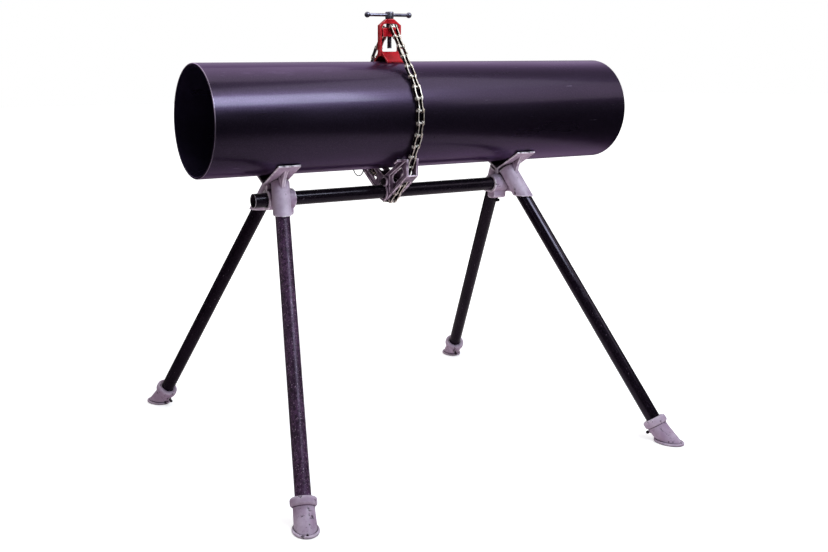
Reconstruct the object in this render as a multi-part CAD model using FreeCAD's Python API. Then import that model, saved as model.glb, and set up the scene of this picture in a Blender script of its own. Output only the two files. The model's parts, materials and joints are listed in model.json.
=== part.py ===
import FreeCAD, Part
import math
import os

# Pipe stand with a chain vise: two saddle heads on a pipe beam, four pipe legs
# with cast feet, and a screw yoke that draws a chain round the workpiece.
# Frame: +X along the beam, +Y to the rear, +Z up; the origin is on the floor
# under the middle of the workpiece. All sizes are in millimetres.

# ---- pipe stock ----
stand_pipe_od = 42.16
stand_pipe_wall = 3.56
work_od = 323.85
work_wall = 6.35
work_length = 1450.0

# ---- where things stand ----
stand_x = -64.7            # middle of the stand, from the middle of the workpiece
beam_z = 748.6             # axis of the beam
beam_length = 968.0
head_offset_left = 400.0   # stand middle to the middle of a head
head_offset_right = 412.0
vise_offset = -20.0        # stand middle to the plane of the chain

# ---- clearances ----
rest_gap = 0.3             # between pieces that lie against each other
slip_fit = 0.3             # radial, a casting on a pipe
screw_fit = 0.05           # radial, a screw or pin that turns
plate_fit = 0.1            # between the side faces of chain plates
hook_fit = 0.02            # between a hooked pin and its seat
merge = 1.0                # how deep pieces of one casting run into each other
cutter = 300.0             # cutting shapes run this far past the part

# ---- saddle heads ----
saddle_rise = 49.2         # beam axis to the bottom of the V
saddle_angle = 29.0        # each arm above the level
saddle_reach = 121.0       # length of an arm along its slope
saddle_wall = 5.5
saddle_inboard = 20.0      # saddle plate, towards the stand middle from the head
saddle_outboard = 52.0
boss_radius = 30.0
boss_length = 88.0
socket_radius = 27.0
socket_depth = 70.0
socket_cap = 38.0          # casting beyond the blind end of a socket, up to the saddle
socket_mouth_drop = 36.6   # beam axis down to the level mouths of the sockets
rib_width = 12.0
web_thickness = 14.0
web_offset = 15.0          # middle of the webs, outboard of the head's middle
web_foot_drop = 27.0       # beam axis down to the lower edge of the cross web
gusset_thickness = 11.0
gusset_low = 5.0           # its lower end, above the blind end of the socket
gusset_reach = 97.0        # where the gusset meets the arm, level distance from the axis
gusset_bite = 2.0          # its lower end runs this far into the socket's side
gusset_hollow = 7.0        # how far its curved edge is drawn in
gusset_lift = 2.0
gusset_root = 0.6          # its inner edge, as a share of the way out to the socket's axis
pad_width = 36.0
pad_length = 47.0
pad_offset = -16.5         # middle of the set screw pad, inboard of the head's middle
pad_drop = 18.0            # below the boss
pad_round = 9.0

# ---- legs ----
leg_apex_rise = 85.4       # beam axis up to where a pair of leg axes would meet
leg_apex_inset = 2.0       # that point, inboard of the head's middle
leg_run_x = 208.0          # apex to the foot point, along the beam
leg_run_y = 549.8          # apex to the foot point, across the beam
leg_floor_stand_off = 28.0  # lower end of the leg pipe, along its axis from the floor

# ---- feet ----
foot_length = 80.0         # rim to floor along the leg's axis
foot_body_radius = 28.0
foot_bead_radius = 34.8
foot_bead_height = 23.0
foot_bead_round = 7.0
foot_waist = 46.0          # where the round body starts to flow into the sole
sole_length = 90.0
sole_width = 70.0
sole_thickness = 8.0
sole_shift = 5.0           # sole's middle, outward from the leg's axis
skirt_inset = 5.5          # the round body meets the sole this far inside its edge
sole_rim_share = 0.35      # round of the sole's rims, as a share of its thickness
toe_hole_radius = 3.1
toe_hole_inset = 8.0

# ---- set screws ----
head_screw_radius = 5.0
head_screw_square = 15.0
head_screw_head = 9.0
head_screw_show = 4.0      # bare shank between the pad and the square
foot_screw_radius = 3.5
foot_screw_knob = 5.0
foot_screw_place = 49.0    # along the leg's axis from the floor
foot_screw_show = 5.0
boss_round_radius = 7.5    # small pad round the foot's screw
boss_round_height = 4.0

# ---- vise bracket ----
bracket_width = 41.0
bracket_cheek = 4.0
bracket_rim = 3.0          # how far the rim stands proud of the cheek
bracket_rim_width = 8.0
bracket_saddle_rim = 14.0  # the rim under the V is the wider one
bracket_drop = 0.3         # the V, below that of the heads
bracket_front = 130.0      # from the beam's axis to the upright end of an arm
bracket_top = 107.0        # level end of an arm, above the beam's axis
bracket_corner = 56.0      # lower end of the upright edge
bracket_collar_radius = 29.0
bracket_collar_proud = 5.0
bracket_web = 5.0
bracket_web_length = 35.0
bracket_rib_reach = 26.0   # level half length of the rib between the cheeks
bracket_recess_start = 6.0  # a cheek's recess, from the collar
bracket_pad_length = 18.0  # pads outside the cheeks at the V's top ends, level length
bracket_pad_reach = 18.0   # outward from a cheek's face
eye_inner = 58.0           # chain eye, level distance of its inner centre
eye_inner_rise = 45.0
eye_outer = 92.0
eye_outer_rise = 67.0
eye_radius = 12.0
cross_bolt_y = -17.0
cross_bolt_rise = 32.5
cross_bolt_radius = 5.0
cross_bolt_boss = 15.5
cross_bolt_boss_proud = 9.0
cross_bolt_head = 18.0     # across flats
cross_bolt_head_height = 7.0
cross_bolt_end = 3.0       # beyond the nut

# ---- keeper bail ----
bail_wire = 1.6
bail_pivot_y = 116.0
bail_pivot_rise = 72.0
bail_radius = 36.0

# ---- chain ----
chain_pitch = 36.5
chain_pin_radius = 3.0
chain_pin_length = 25.0
chain_pin_head = 4.2
chain_pin_head_height = 1.0
chain_plate_height = 14.5
chain_plate = 3.0
chain_inner_gap = 9.0
chain_hook_y = 20.0        # hooked pins, from the screw's axis
chain_hook_rise = 96.8     # about where they hang, above the workpiece
chain_slack_y = 100.0      # the chain's widest point in the bracket
chain_slack_rise = 66.0
chain_slack_bend = 30.0
chain_swing_links = 2      # links in each of the two pieces that swing open

# ---- yoke ----
yoke_width = 76.0
yoke_thickness = 14.0
yoke_upright = 8.5
yoke_base_top = 29.6       # above the workpiece
yoke_shoulder_drop = 18.0  # the shoulders, below the crown
yoke_crown_radius = 14.0   # round boss that the screw runs in
yoke_crown_wall = 14.0
yoke_window_round = 14.0   # upper corners of the window
yoke_corner_round = 5.0    # lower corners
yoke_base_length = 64.0
yoke_base_width = 80.0
yoke_base_edge = 6.0       # height of the base's upright edge
yoke_seat_depth = 2.0      # stock under that edge that the seat on the workpiece takes away
yoke_arch_width = 64.0
yoke_arch_height = 16.5

# ---- screw, block and handle ----
screw_radius = 7.0
screw_pitch = 3.0
screw_tip_share = 0.4      # depth of the tip's chamfer over the pitch
screw_end = 39.6           # above the workpiece
hub_radius = 12.5
hub_height = 22.0
hub_hole_rise = 12.6       # the handle's hole, above the crown
hub_round = 1.5
retainer_radius = 10.0
retainer_height = 11.0
retainer_pin_radius = 1.5
retainer_pin_inset = 0.4   # the pin's ends, inside the collar
retainer_chamfer = 0.8
block_height = 26.0
block_thickness = 24.0
block_side_gap = 0.4
block_top_gap = 0.8        # below the collar when the block is right up
block_corner = 3.0
block_above_seat = 0.8     # block's top, above the pins' seats
arm_width = 12.0
arm_depth = 15.0
arm_tip = 7.5              # beyond the pin
arm_lip = 1.3
arm_seat = 0.5             # level seat beyond the pin, before the slope up to the lip
arm_lip_slope = 1.5        # level length of that slope
handle_radius = 5.0
handle_length = 145.4      # between the balls' middles
handle_ball_radius = 8.7
handle_shift = -4.0
handle_ball_grip = 6.0     # how deep the bar goes into a ball

X = FreeCAD.Vector(1, 0, 0)
Y = FreeCAD.Vector(0, 1, 0)
Z = FreeCAD.Vector(0, 0, 1)

# ---- sizes that follow ----
stand_pipe_radius = stand_pipe_od / 2
work_radius = work_od / 2
slope = math.radians(saddle_angle)
saddle_z = beam_z + saddle_rise
work_z = saddle_z + (work_radius + rest_gap) / math.cos(slope)
work_top = work_z + work_radius
apex_z = beam_z + leg_apex_rise
vise_x = stand_x + vise_offset
saddle_under = saddle_wall / math.cos(slope)
saddle_middle = saddle_z - saddle_under / 2
pad_bottom = beam_z - boss_radius - pad_drop


def point(x, y, z):
    return FreeCAD.Vector(x, y, z)


def prism_x(outline, x_start, x_end):
    """Solid with an outline of (y, z) points, from one x to another."""
    corners = [point(x_start, y, z) for y, z in outline]
    face = Part.Face(Part.makePolygon(corners + corners[:1]))
    return face.extrude(X * (x_end - x_start))


def prism_y(outline, half_width):
    """Solid with an outline of (x, z) points, centred across the beam."""
    corners = [point(x, -half_width, z) for x, z in outline]
    face = Part.Face(Part.makePolygon(corners + corners[:1]))
    return face.extrude(Y * (2 * half_width))


def rod(radius, start, end):
    run = end - start
    return Part.makeCylinder(radius, run.Length, start, run)


def tube(radius, wall, start, end):
    return rod(radius, start, end).cut(rod(radius - wall, start, end))


def polygon_bar(flats, sides, start, end):
    """Bar with a regular polygon across its run, such as a nut or a square head."""
    run = end - start
    reach = flats / 2 / math.cos(math.pi / sides)
    turn = FreeCAD.Rotation(Z, run)
    corners = []
    for k in range(sides + 1):
        angle = 2 * math.pi * (k + 0.5) / sides
        corner = point(reach * math.cos(angle), reach * math.sin(angle), 0)
        corners.append(start + turn.multVec(corner))
    return Part.Face(Part.makePolygon(corners)).extrude(run)


def write(shape, node):
    shape.exportStep("parts/" + node + ".step")


# ---------------------------------------------------------------- beam and work

def make_beam():
    start = point(stand_x - beam_length / 2, 0, beam_z)
    return tube(stand_pipe_radius, stand_pipe_wall, start, start + X * beam_length)


def make_workpiece():
    start = point(-work_length / 2, 0, work_z)
    return tube(work_radius, work_wall, start, start + X * work_length)


# ---------------------------------------------------------------- legs

def head_x(end):
    return stand_x - head_offset_left if end < 0 else stand_x + head_offset_right


def leg_axis(end, side):
    """Foot point on the floor and the unit vector up the leg."""
    apex = point(head_x(end) - end * leg_apex_inset, 0, apex_z)
    foot = point(apex.x + end * leg_run_x, side * leg_run_y, 0)
    up = apex - foot
    up.normalize()
    return foot, up


def socket_mouth_distance():
    """Along a leg's axis, from the floor to the level of the socket mouths."""
    foot, up = leg_axis(1, 1)
    return (beam_z - socket_mouth_drop) / up.z


def make_leg_tube(end, side):
    foot, up = leg_axis(end, side)
    top = socket_mouth_distance() + socket_depth
    return tube(stand_pipe_radius, stand_pipe_wall, foot + up * leg_floor_stand_off, foot + up * top)


def leg_heel(up):
    """Unit vector square to the leg, in its upright plane, down towards the heel."""
    heel = up * up.z - Z
    heel.normalize()
    return heel


def oval(length, width, height):
    """Level ellipse, its long axis along X."""
    wire = Part.Wire(Part.Ellipse(point(0, 0, 0), length / 2, width / 2).toShape())
    wire.translate(point(sole_shift, 0, height))
    return wire


def make_foot(end, side):
    """Foot made with the leg leaning back from +X, then turned to its own place."""
    place, leg_up = leg_axis(end, side)
    level = math.hypot(leg_up.x, leg_up.y)
    up = point(-level, 0, leg_up.z)
    heel = leg_heel(up)

    # a rounded bead on a round body
    bead_start = up * (foot_length - foot_bead_height)
    bead = rod(foot_bead_radius, bead_start, up * foot_length)
    bead = bead.makeFillet(min(foot_bead_round, foot_bead_height * 0.4), [e for e in bead.Edges if e.Closed])
    waist = up * foot_waist
    body = rod(foot_body_radius, waist, bead_start + up)

    # the body flows into a level oval sole
    ring = Part.Circle(point(0, 0, 0), Z, foot_body_radius).toShape()
    ring.rotate(point(0, 0, 0), Y, -math.degrees(math.asin(level)))
    ring.translate(waist)
    edge = oval(sole_length - 2 * skirt_inset, sole_width - 2 * skirt_inset, sole_thickness * 0.75)
    skirt = Part.makeLoft([Part.Wire(ring), edge], True)
    sole = Part.Face(oval(sole_length, sole_width, 0)).extrude(Z * sole_thickness)
    rims = [e for e in sole.Edges if e.Closed and e.Length > sole_length]
    sole = sole.makeFillet(sole_thickness * sole_rim_share, rims)

    pad_base = up * foot_screw_place
    pad = rod(boss_round_radius, pad_base, pad_base + heel * (foot_body_radius + boss_round_height))
    shape = bead.fuse([body, skirt, sole, pad])

    bore = rod(stand_pipe_radius + slip_fit, up * (leg_floor_stand_off - rest_gap),
               up * (foot_length + merge))
    thread = rod(foot_screw_radius + screw_fit, pad_base, pad_base + heel * (foot_bead_radius * 2))
    toe = point(sole_shift + sole_length / 2 - toe_hole_inset, 0, 0)
    toe_hole = rod(toe_hole_radius, toe - Z, toe + Z * (sole_thickness * 3))
    shape = shape.cut([bore, thread, toe_hole]).removeSplitter()
    shape.rotate(point(0, 0, 0), Z, math.degrees(math.atan2(-leg_up.y, -leg_up.x)))
    shape.translate(place)
    return shape


def make_foot_screw(end, side):
    foot, up = leg_axis(end, side)
    heel = leg_heel(up)
    base = foot + up * foot_screw_place
    tip = base + heel * (stand_pipe_radius + rest_gap)
    neck = base + heel * (foot_body_radius + boss_round_height + foot_screw_show)
    shank = rod(foot_screw_radius, tip, neck)
    knob = Part.makeSphere(foot_screw_knob, neck + heel * (foot_screw_knob * 0.6))
    return shank.fuse(knob).removeSplitter()


# ---------------------------------------------------------------- heads

def saddle_outline(rise, reach, wall):
    """V of two sloping arms: (y, z) points round it, with its inner corner at a height."""
    out_y = reach * math.cos(slope)
    out_z = rise + reach * math.sin(slope)
    under_y = out_y + wall * math.sin(slope)
    under_z = out_z - wall * math.cos(slope)
    return [(0, rise), (out_y, out_z), (under_y, under_z), (0, rise - wall / math.cos(slope)),
            (-under_y, under_z), (-out_y, out_z)]


def above_saddle(corner_z, x_start, x_end):
    """All that lies above a V with its inner corner at a height."""
    reach = saddle_reach * 3
    edge_z = corner_z + reach * math.tan(slope)
    outline = [(0, corner_z), (reach, edge_z), (reach, edge_z * 2), (-reach, edge_z * 2), (-reach, edge_z)]
    return prism_x(outline, x_start, x_end)


def make_head(end):
    middle = head_x(end)
    boss_start = point(middle - boss_length / 2, 0, beam_z)
    boss = rod(boss_radius, boss_start, boss_start + X * boss_length)
    plate = prism_x(saddle_outline(saddle_z, saddle_reach, saddle_wall),
                    middle - end * saddle_inboard, middle + end * saddle_outboard)

    # upright rib along the beam, and the cross web between the sockets
    rib = Part.makeBox(saddle_inboard + boss_length / 2, rib_width, saddle_middle - beam_z,
                       point(min(middle - end * saddle_inboard, middle + end * boss_length / 2),
                             -rib_width / 2, beam_z))
    web_x = middle + end * web_offset
    web_foot = beam_z - web_foot_drop
    spread = leg_run_y / apex_z
    web_y = (apex_z - web_foot) * spread
    web_top_y = (apex_z - saddle_middle) * spread + socket_radius
    web_top = saddle_middle + web_top_y * math.tan(slope)
    web = prism_x([(-web_y, web_foot), (web_y, web_foot), (web_top_y, web_top), (-web_top_y, web_top)],
                  web_x - web_thickness / 2, web_x + web_thickness / 2)
    pieces = [rib, web]

    cuts = [rod(stand_pipe_radius + slip_fit, boss_start - X, boss_start + X * (boss_length + 2))]
    mouth = socket_mouth_distance()
    mouth_z = beam_z - socket_mouth_drop
    floor = Part.makeBox(2 * cutter, 2 * cutter, cutter, point(middle - cutter, -cutter, mouth_z - cutter))
    for side in (-1, 1):
        foot, up = leg_axis(end, side)
        top = mouth + socket_depth
        socket = rod(socket_radius, foot + up * (mouth - socket_depth), foot + up * (top + socket_cap))
        pieces.append(socket.cut(floor))
        cuts.append(rod(stand_pipe_radius + slip_fit, foot + up * (mouth - socket_depth),
                        foot + up * (top + rest_gap)))
        pieces.append(make_gusset(end, side))
    over = above_saddle(saddle_middle, middle - cutter, middle + cutter)
    shape = boss.fuse([plate] + [piece.cut(over) for piece in pieces])

    pad_x = middle + end * pad_offset
    pad = Part.makeBox(pad_length, pad_width, boss_radius + pad_drop,
                       point(pad_x - pad_length / 2, -pad_width / 2, pad_bottom))
    low_edges = [e for e in pad.Edges if e.BoundBox.ZMax < pad_bottom + 1 and e.BoundBox.XLength > 1]
    pad = pad.makeFillet(pad_round, low_edges)
    cuts.append(rod(head_screw_radius + screw_fit, point(pad_x, 0, pad_bottom - 1), point(pad_x, 0, beam_z)))
    return shape.fuse(pad).cut(cuts).removeSplitter()


def make_gusset(end, side):
    """Rib from the side of a socket to the underside of its saddle arm, with a curved edge."""
    foot, up = leg_axis(end, side)
    top = socket_mouth_distance() + socket_depth
    low = foot + up * (top + gusset_low)
    web_x = head_x(end) + end * web_offset
    tip = point(web_x, side * gusset_reach, saddle_middle + gusset_reach * math.tan(slope))
    outer = point(web_x, side * (abs(low.y) + socket_radius * up.z - gusset_bite), low.z)
    middle = (tip + outer) * 0.5 + point(0, -side * gusset_hollow, gusset_lift)
    root_y = low.y * gusset_root
    inner = point(web_x, root_y, low.z)
    root = point(web_x, root_y, saddle_middle + abs(root_y) * math.tan(slope))
    wire = Part.Wire([Part.Arc(tip, middle, outer).toShape(), Part.makeLine(outer, inner),
                      Part.makeLine(inner, root), Part.makeLine(root, tip)])
    rib = Part.Face(wire).extrude(X * gusset_thickness)
    rib.translate(X * (-gusset_thickness / 2))
    return rib


def make_head_screw(end):
    x = head_x(end) + end * pad_offset
    neck = point(x, 0, pad_bottom - head_screw_show)
    shank = rod(head_screw_radius, neck, point(x, 0, beam_z - stand_pipe_radius - rest_gap))
    head = polygon_bar(head_screw_square, 4, neck - Z * head_screw_head, neck)
    return shank.fuse(head).removeSplitter()


# ---------------------------------------------------------------- chain path

def perpendicular(d):
    """Unit vector to the outside of a run that goes down the front of the chain."""
    return (d[1], -d[0])


def belt_line(centre_a, radius_a, centre_b, radius_b):
    """Outward normal of the straight run that leaves circle a and meets circle b."""
    run = (centre_b[0] - centre_a[0], centre_b[1] - centre_a[1])
    length = math.hypot(run[0], run[1])
    d = (run[0] / length, run[1] / length)
    side = perpendicular(d)
    lean = (radius_a - radius_b) / length
    across = math.sqrt(1 - lean * lean)
    return (d[0] * lean + side[0] * across, d[1] * lean + side[1] * across)


def belt_path(circles):
    """Fine points (y, z) along a belt that passes outside each circle in turn."""
    normals = []
    for first, second in zip(circles[:-1], circles[1:]):
        normals.append(belt_line(first[0], first[1], second[0], second[1]))
    normals.append((0.0, -1.0))
    path = [circles[0][0]]
    for k in range(1, len(circles)):
        centre, radius = circles[k]
        start = math.atan2(normals[k - 1][1], normals[k - 1][0]) % (2 * math.pi)
        end = math.atan2(normals[k][1], normals[k][0]) % (2 * math.pi)
        steps = max(2, int(abs(end - start) * radius / 0.5))
        for i in range(steps + 1):
            angle = start + (end - start) * i / steps
            path.append((centre[0] + radius * math.cos(angle), centre[1] + radius * math.sin(angle)))
    last = path[-1]
    path.append((last[0] + 3 * chain_pitch, last[1]))
    return path


def walk(path, count):
    """Pins along a path, each one pitch from the one before in a straight line."""
    pins = [path[0]]
    k = 1
    while len(pins) <= count and k < len(path):
        pin = pins[-1]
        if math.dist(pin, path[k]) < chain_pitch:
            k += 1
            continue
        low, high = 0.0, 1.0
        a, b = path[k - 1], path[k]
        if math.dist(pin, a) >= chain_pitch:
            a = pin
        for _ in range(40):
            t = (low + high) / 2
            q = (a[0] + (b[0] - a[0]) * t, a[1] + (b[1] - a[1]) * t)
            if math.dist(pin, q) < chain_pitch:
                low = t
            else:
                high = t
        pins.append((a[0] + (b[0] - a[0]) * high, a[1] + (b[1] - a[1]) * high))
    return pins


def chain_circles(hook_z):
    half = chain_plate_height / 2 + rest_gap
    work_ring = math.hypot(work_radius + half, chain_pitch / 2)
    beam_ring = math.hypot(stand_pipe_radius + half, chain_pitch / 2)
    slack = (-chain_slack_y + chain_slack_bend, beam_z + chain_slack_rise)
    return [((-chain_hook_y, hook_z), 0.0), ((0.0, work_z), work_ring), (slack, chain_slack_bend),
            ((0.0, beam_z), beam_ring)]


def bottom_miss(hook_z, count):
    """How far the last front pin lies from half a pitch before the beam's middle."""
    pins = walk(belt_path(chain_circles(hook_z)), count)
    return pins[count][0] + chain_pitch / 2


def chain_pins_front():
    """Front pins from the hooked one to the last before the middle, so that the loop closes."""
    nominal = work_top + chain_hook_rise
    pins = walk(belt_path(chain_circles(nominal)), 200)
    below = [k for k in range(len(pins)) if pins[k][1] < beam_z]
    count = min(below, key=lambda k: abs(pins[k][0] + chain_pitch / 2))
    low, high = nominal - chain_pitch, nominal + chain_pitch
    for _ in range(50):
        middle = (low + high) / 2
        if bottom_miss(middle, count) > 0:
            low = middle
        else:
            high = middle
    return walk(belt_path(chain_circles(low)), count)[:count + 1]


front_pins = chain_pins_front()
chain_pins = front_pins + [(-y, z) for y, z in reversed(front_pins)]
hook_z = chain_pins[0][1]
seat_z = hook_z - chain_pin_radius - hook_fit


def link_plate(first, second, x):
    """Plate with round ends over two pins, its inner face at x and its thickness outward."""
    (ya, za), (yb, zb) = first, second
    half = chain_plate_height / 2
    length = math.dist(first, second)
    d = ((yb - ya) / length, (zb - za) / length)
    n = (-d[1], d[0])
    a_up = point(x, ya + n[0] * half, za + n[1] * half)
    a_end = point(x, ya - d[0] * half, za - d[1] * half)
    a_low = point(x, ya - n[0] * half, za - n[1] * half)
    b_up = point(x, yb + n[0] * half, zb + n[1] * half)
    b_end = point(x, yb + d[0] * half, zb + d[1] * half)
    b_low = point(x, yb - n[0] * half, zb - n[1] * half)
    wire = Part.Wire([Part.Arc(a_up, a_end, a_low).toShape(), Part.makeLine(a_low, b_low),
                      Part.Arc(b_low, b_end, b_up).toShape(), Part.makeLine(b_up, a_up)])
    return Part.Face(wire)


def link_plates(k):
    """The pair of plates of link k; links with an even number are the outer ones."""
    first, second = chain_pins[k], chain_pins[k + 1]
    inner_face = chain_inner_gap / 2
    if k % 2 == 0:
        inner_face += chain_plate + plate_fit
    plates = []
    for side in (-1, 1):
        start = vise_x + side * inner_face
        plate = link_plate(first, second, start).extrude(X * (side * chain_plate))
        for y, z in (first, second):
            hole = rod(chain_pin_radius + screw_fit, point(start - side, y, z),
                       point(start + side * (chain_plate + 1), y, z))
            plate = plate.cut(hole)
        plates.append(plate)
    return plates


def chain_pin(k):
    y, z = chain_pins[k]
    half = chain_pin_length / 2
    pin = rod(chain_pin_radius, point(vise_x - half, y, z), point(vise_x + half, y, z))
    for side in (-1, 1):
        start = point(vise_x + side * (half - chain_pin_head_height), y, z)
        pin = pin.fuse(rod(chain_pin_head, start, start + X * (side * chain_pin_head_height)))
    return pin.removeSplitter()


def chain_group(first, last, kind):
    """Plates or pins of links first to last-1; an outer link carries its two pins."""
    solids = []
    for k in range(first, last):
        outer = k % 2 == 0
        if kind == "pins" and outer:
            solids += [chain_pin(k), chain_pin(k + 1)]
        if kind == "outer" and outer:
            solids += link_plates(k)
        if kind == "inner" and not outer:
            solids += link_plates(k)
    return solids


# ---------------------------------------------------------------- bracket

def bracket_arm_outline():
    """Front arm and half the hub, as (distance from the axis, height above it)."""
    v_rise = saddle_rise - bracket_drop
    top_y = (bracket_top - v_rise) / math.tan(slope)
    corner = math.atan2(bracket_corner + bracket_collar_radius * 0.8, bracket_front)
    low_y = bracket_collar_radius * math.sin(corner)
    low_z = -bracket_collar_radius * math.cos(corner)
    return [(0, v_rise), (top_y, bracket_top), (bracket_front, bracket_top), (bracket_front, bracket_corner),
            (low_y, low_z), (0, -bracket_collar_radius)]


def inset_outline(outline):
    """Recess of a cheek: the arm's outline drawn in by the width of its rim."""
    v_rise = saddle_rise - bracket_drop
    drop = bracket_saddle_rim / math.cos(slope)
    end = bracket_front - bracket_rim_width
    low = outline[4]
    fall = (bracket_corner - low[1]) / (bracket_front - low[0])
    lift = bracket_rim_width * math.hypot(1, fall)

    def floor(y):
        return bracket_corner - (bracket_front - y) * fall + lift

    start = bracket_collar_radius + bracket_recess_start
    return [(start, v_rise - drop + start * math.tan(slope)), (end, v_rise - drop + end * math.tan(slope)),
            (end, floor(end)), (start, floor(start))]


def mirrored(outline, side):
    return [(side * y, beam_z + z) for y, z in outline]


def make_bracket():
    half = bracket_width / 2
    arm = bracket_arm_outline()
    recess = inset_outline(arm)
    whole = mirrored(arm, -1) + list(reversed(mirrored(arm, 1)))[1:-1]
    inner = half - bracket_rim - bracket_cheek
    shape = None
    for side in (-1, 1):
        face = vise_x + side * half
        cheek = prism_x(whole, vise_x + side * inner, face)
        collar = rod(bracket_collar_radius, point(vise_x + side * inner, 0, beam_z),
                     point(face + side * bracket_collar_proud, 0, beam_z))
        boss = rod(cross_bolt_boss, point(vise_x + side * inner, cross_bolt_y, beam_z + cross_bolt_rise),
                   point(face + side * cross_bolt_boss_proud, cross_bolt_y, beam_z + cross_bolt_rise))
        cuts = []
        for arm_side in (-1, 1):
            cuts.append(prism_x(mirrored(recess, arm_side), face - side * bracket_rim, face + side))
            cuts.append(eye_cut(arm_side))
        pads = [bracket_pad(arm, arm_side, side) for arm_side in (-1, 1)]
        cheek = cheek.cut(cuts).fuse([collar, boss] + pads)
        reach = half + bracket_pad_reach + cross_bolt_boss_proud
        cheek = cheek.cut(above_saddle(saddle_z - bracket_drop, vise_x - reach, vise_x + reach))
        shape = cheek if shape is None else shape.fuse(cheek)
    for arm_side in (-1, 1):
        shape = shape.fuse(bracket_web_plate(arm, arm_side))
    shape = shape.fuse(spacer_rib())
    cuts = [rod(stand_pipe_radius + slip_fit, point(vise_x - half * 2, 0, beam_z),
                point(vise_x + half * 2, 0, beam_z))]
    reach = half + cross_bolt_boss_proud + merge
    bolt_z = beam_z + cross_bolt_rise
    cuts.append(rod(cross_bolt_radius + screw_fit, point(vise_x - reach, cross_bolt_y, bolt_z),
                    point(vise_x + reach, cross_bolt_y, bolt_z)))
    pivot_z = beam_z + bail_pivot_rise
    cuts.append(rod(bail_wire + screw_fit, point(vise_x - half - 1, bail_pivot_y, pivot_z),
                    point(vise_x + half + 1, bail_pivot_y, pivot_z)))
    return shape.cut(cuts).removeSplitter()


def bracket_pad(arm, arm_side, side):
    """Plate under the top end of the V that stands out from one cheek."""
    top_y, top_z = arm[1]
    low_y = top_y - bracket_pad_length
    low_z = top_z - bracket_pad_length * math.tan(slope)
    outline = [(top_y, top_z), (top_y, top_z - saddle_under), (low_y, low_z - saddle_under), (low_y, low_z)]
    face = vise_x + side * bracket_width / 2
    return prism_x(mirrored(outline, arm_side), face - side * bracket_rim, face + side * bracket_pad_reach)


def eye_cut(arm_side):
    """Slanted eye through both cheeks of one arm."""
    start = (eye_inner, eye_inner_rise)
    end = (eye_outer, eye_outer_rise)
    length = math.dist(start, end)
    d = ((end[0] - start[0]) / length, (end[1] - start[1]) / length)
    n = (-d[1], d[0])
    half = bracket_width
    outline = []
    for base, way in ((start, 1), (end, 1), (end, -1), (start, -1)):
        outline.append((arm_side * (base[0] + n[0] * eye_radius * way),
                        beam_z + base[1] + n[1] * eye_radius * way))
    slot = prism_x(outline, vise_x - half, vise_x + half)
    ends = []
    for base in (start, end):
        centre = point(vise_x - half, arm_side * base[0], beam_z + base[1])
        ends.append(rod(eye_radius, centre, centre + X * (2 * half)))
    return slot.fuse(ends)


def bracket_web_plate(arm, arm_side):
    """Plate across the two cheeks, along the upper end of an arm's lower edge."""
    corner, low = arm[3], arm[4]
    run = math.dist(corner, low)
    d = ((low[0] - corner[0]) / run, (low[1] - corner[1]) / run)
    n = (d[1], -d[0])
    if n[1] < 0:
        n = (-n[0], -n[1])
    outline = []
    for along, deep in ((0, 0), (bracket_web_length, 0), (bracket_web_length, bracket_web), (0, bracket_web)):
        outline.append((corner[0] + d[0] * along + n[0] * deep, corner[1] + d[1] * along + n[1] * deep))
    inner = bracket_width / 2 - bracket_rim - bracket_cheek + merge
    return prism_x(mirrored(outline, arm_side), vise_x - inner, vise_x + inner)


def spacer_rib():
    """Cross rib between the cheeks under the V, above the beam."""
    inner = bracket_width / 2 - bracket_rim - bracket_cheek + merge
    high = saddle_z - bracket_drop
    low = high - saddle_under
    rise = bracket_rib_reach * math.tan(slope)
    outline = [(0, high), (bracket_rib_reach, high + rise), (bracket_rib_reach, low + rise), (0, low),
               (-bracket_rib_reach, low + rise), (-bracket_rib_reach, high + rise)]
    return prism_x(outline, vise_x - inner, vise_x + inner)


def make_cross_bolt():
    reach = bracket_width / 2 + cross_bolt_boss_proud
    z = beam_z + cross_bolt_rise
    start = point(vise_x - reach, cross_bolt_y, z)
    nut_height = cross_bolt_head_height
    end = point(vise_x + reach + nut_height + cross_bolt_end, cross_bolt_y, z)
    shank = rod(cross_bolt_radius, start, end)
    head = polygon_bar(cross_bolt_head, 6, start - X * cross_bolt_head_height, start)
    return shank.fuse(head).removeSplitter()


def make_cross_nut():
    reach = bracket_width / 2 + cross_bolt_boss_proud
    start = point(vise_x + reach, cross_bolt_y, beam_z + cross_bolt_rise)
    end = start + X * cross_bolt_head_height
    nut = polygon_bar(cross_bolt_head, 6, start, end)
    return nut.cut(rod(cross_bolt_radius + screw_fit, start - X, end + X))


def make_bail():
    """Bent wire: two half rings outside the cheeks, a cross bar behind and a toe in each cheek."""
    leg_x = bracket_width / 2 + bail_wire + rest_gap
    z = beam_z + bail_pivot_rise
    pieces = []
    for side in (-1, 1):
        x = vise_x + side * leg_x
        front = point(x, bail_pivot_y, z)
        low = point(x, bail_pivot_y + bail_radius, z - bail_radius)
        back = point(x, bail_pivot_y + 2 * bail_radius, z)
        arc = Part.Arc(front, low, back).toShape()
        ring = Part.Wire(Part.Circle(front, Z, bail_wire).toShape())
        pieces.append(Part.Wire(arc).makePipeShell([ring], True, False))
        toe = point(x - side * (bail_wire + rest_gap + bracket_rim + bracket_cheek), bail_pivot_y, z)
        pieces.append(rod(bail_wire, toe, front))
        pieces.append(Part.makeSphere(bail_wire, front))
        pieces.append(Part.makeSphere(bail_wire, back))
    bar = rod(bail_wire, point(vise_x - leg_x, bail_pivot_y + 2 * bail_radius, z),
              point(vise_x + leg_x, bail_pivot_y + 2 * bail_radius, z))
    return bar.fuse(pieces).removeSplitter()


# ---------------------------------------------------------------- yoke

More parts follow.
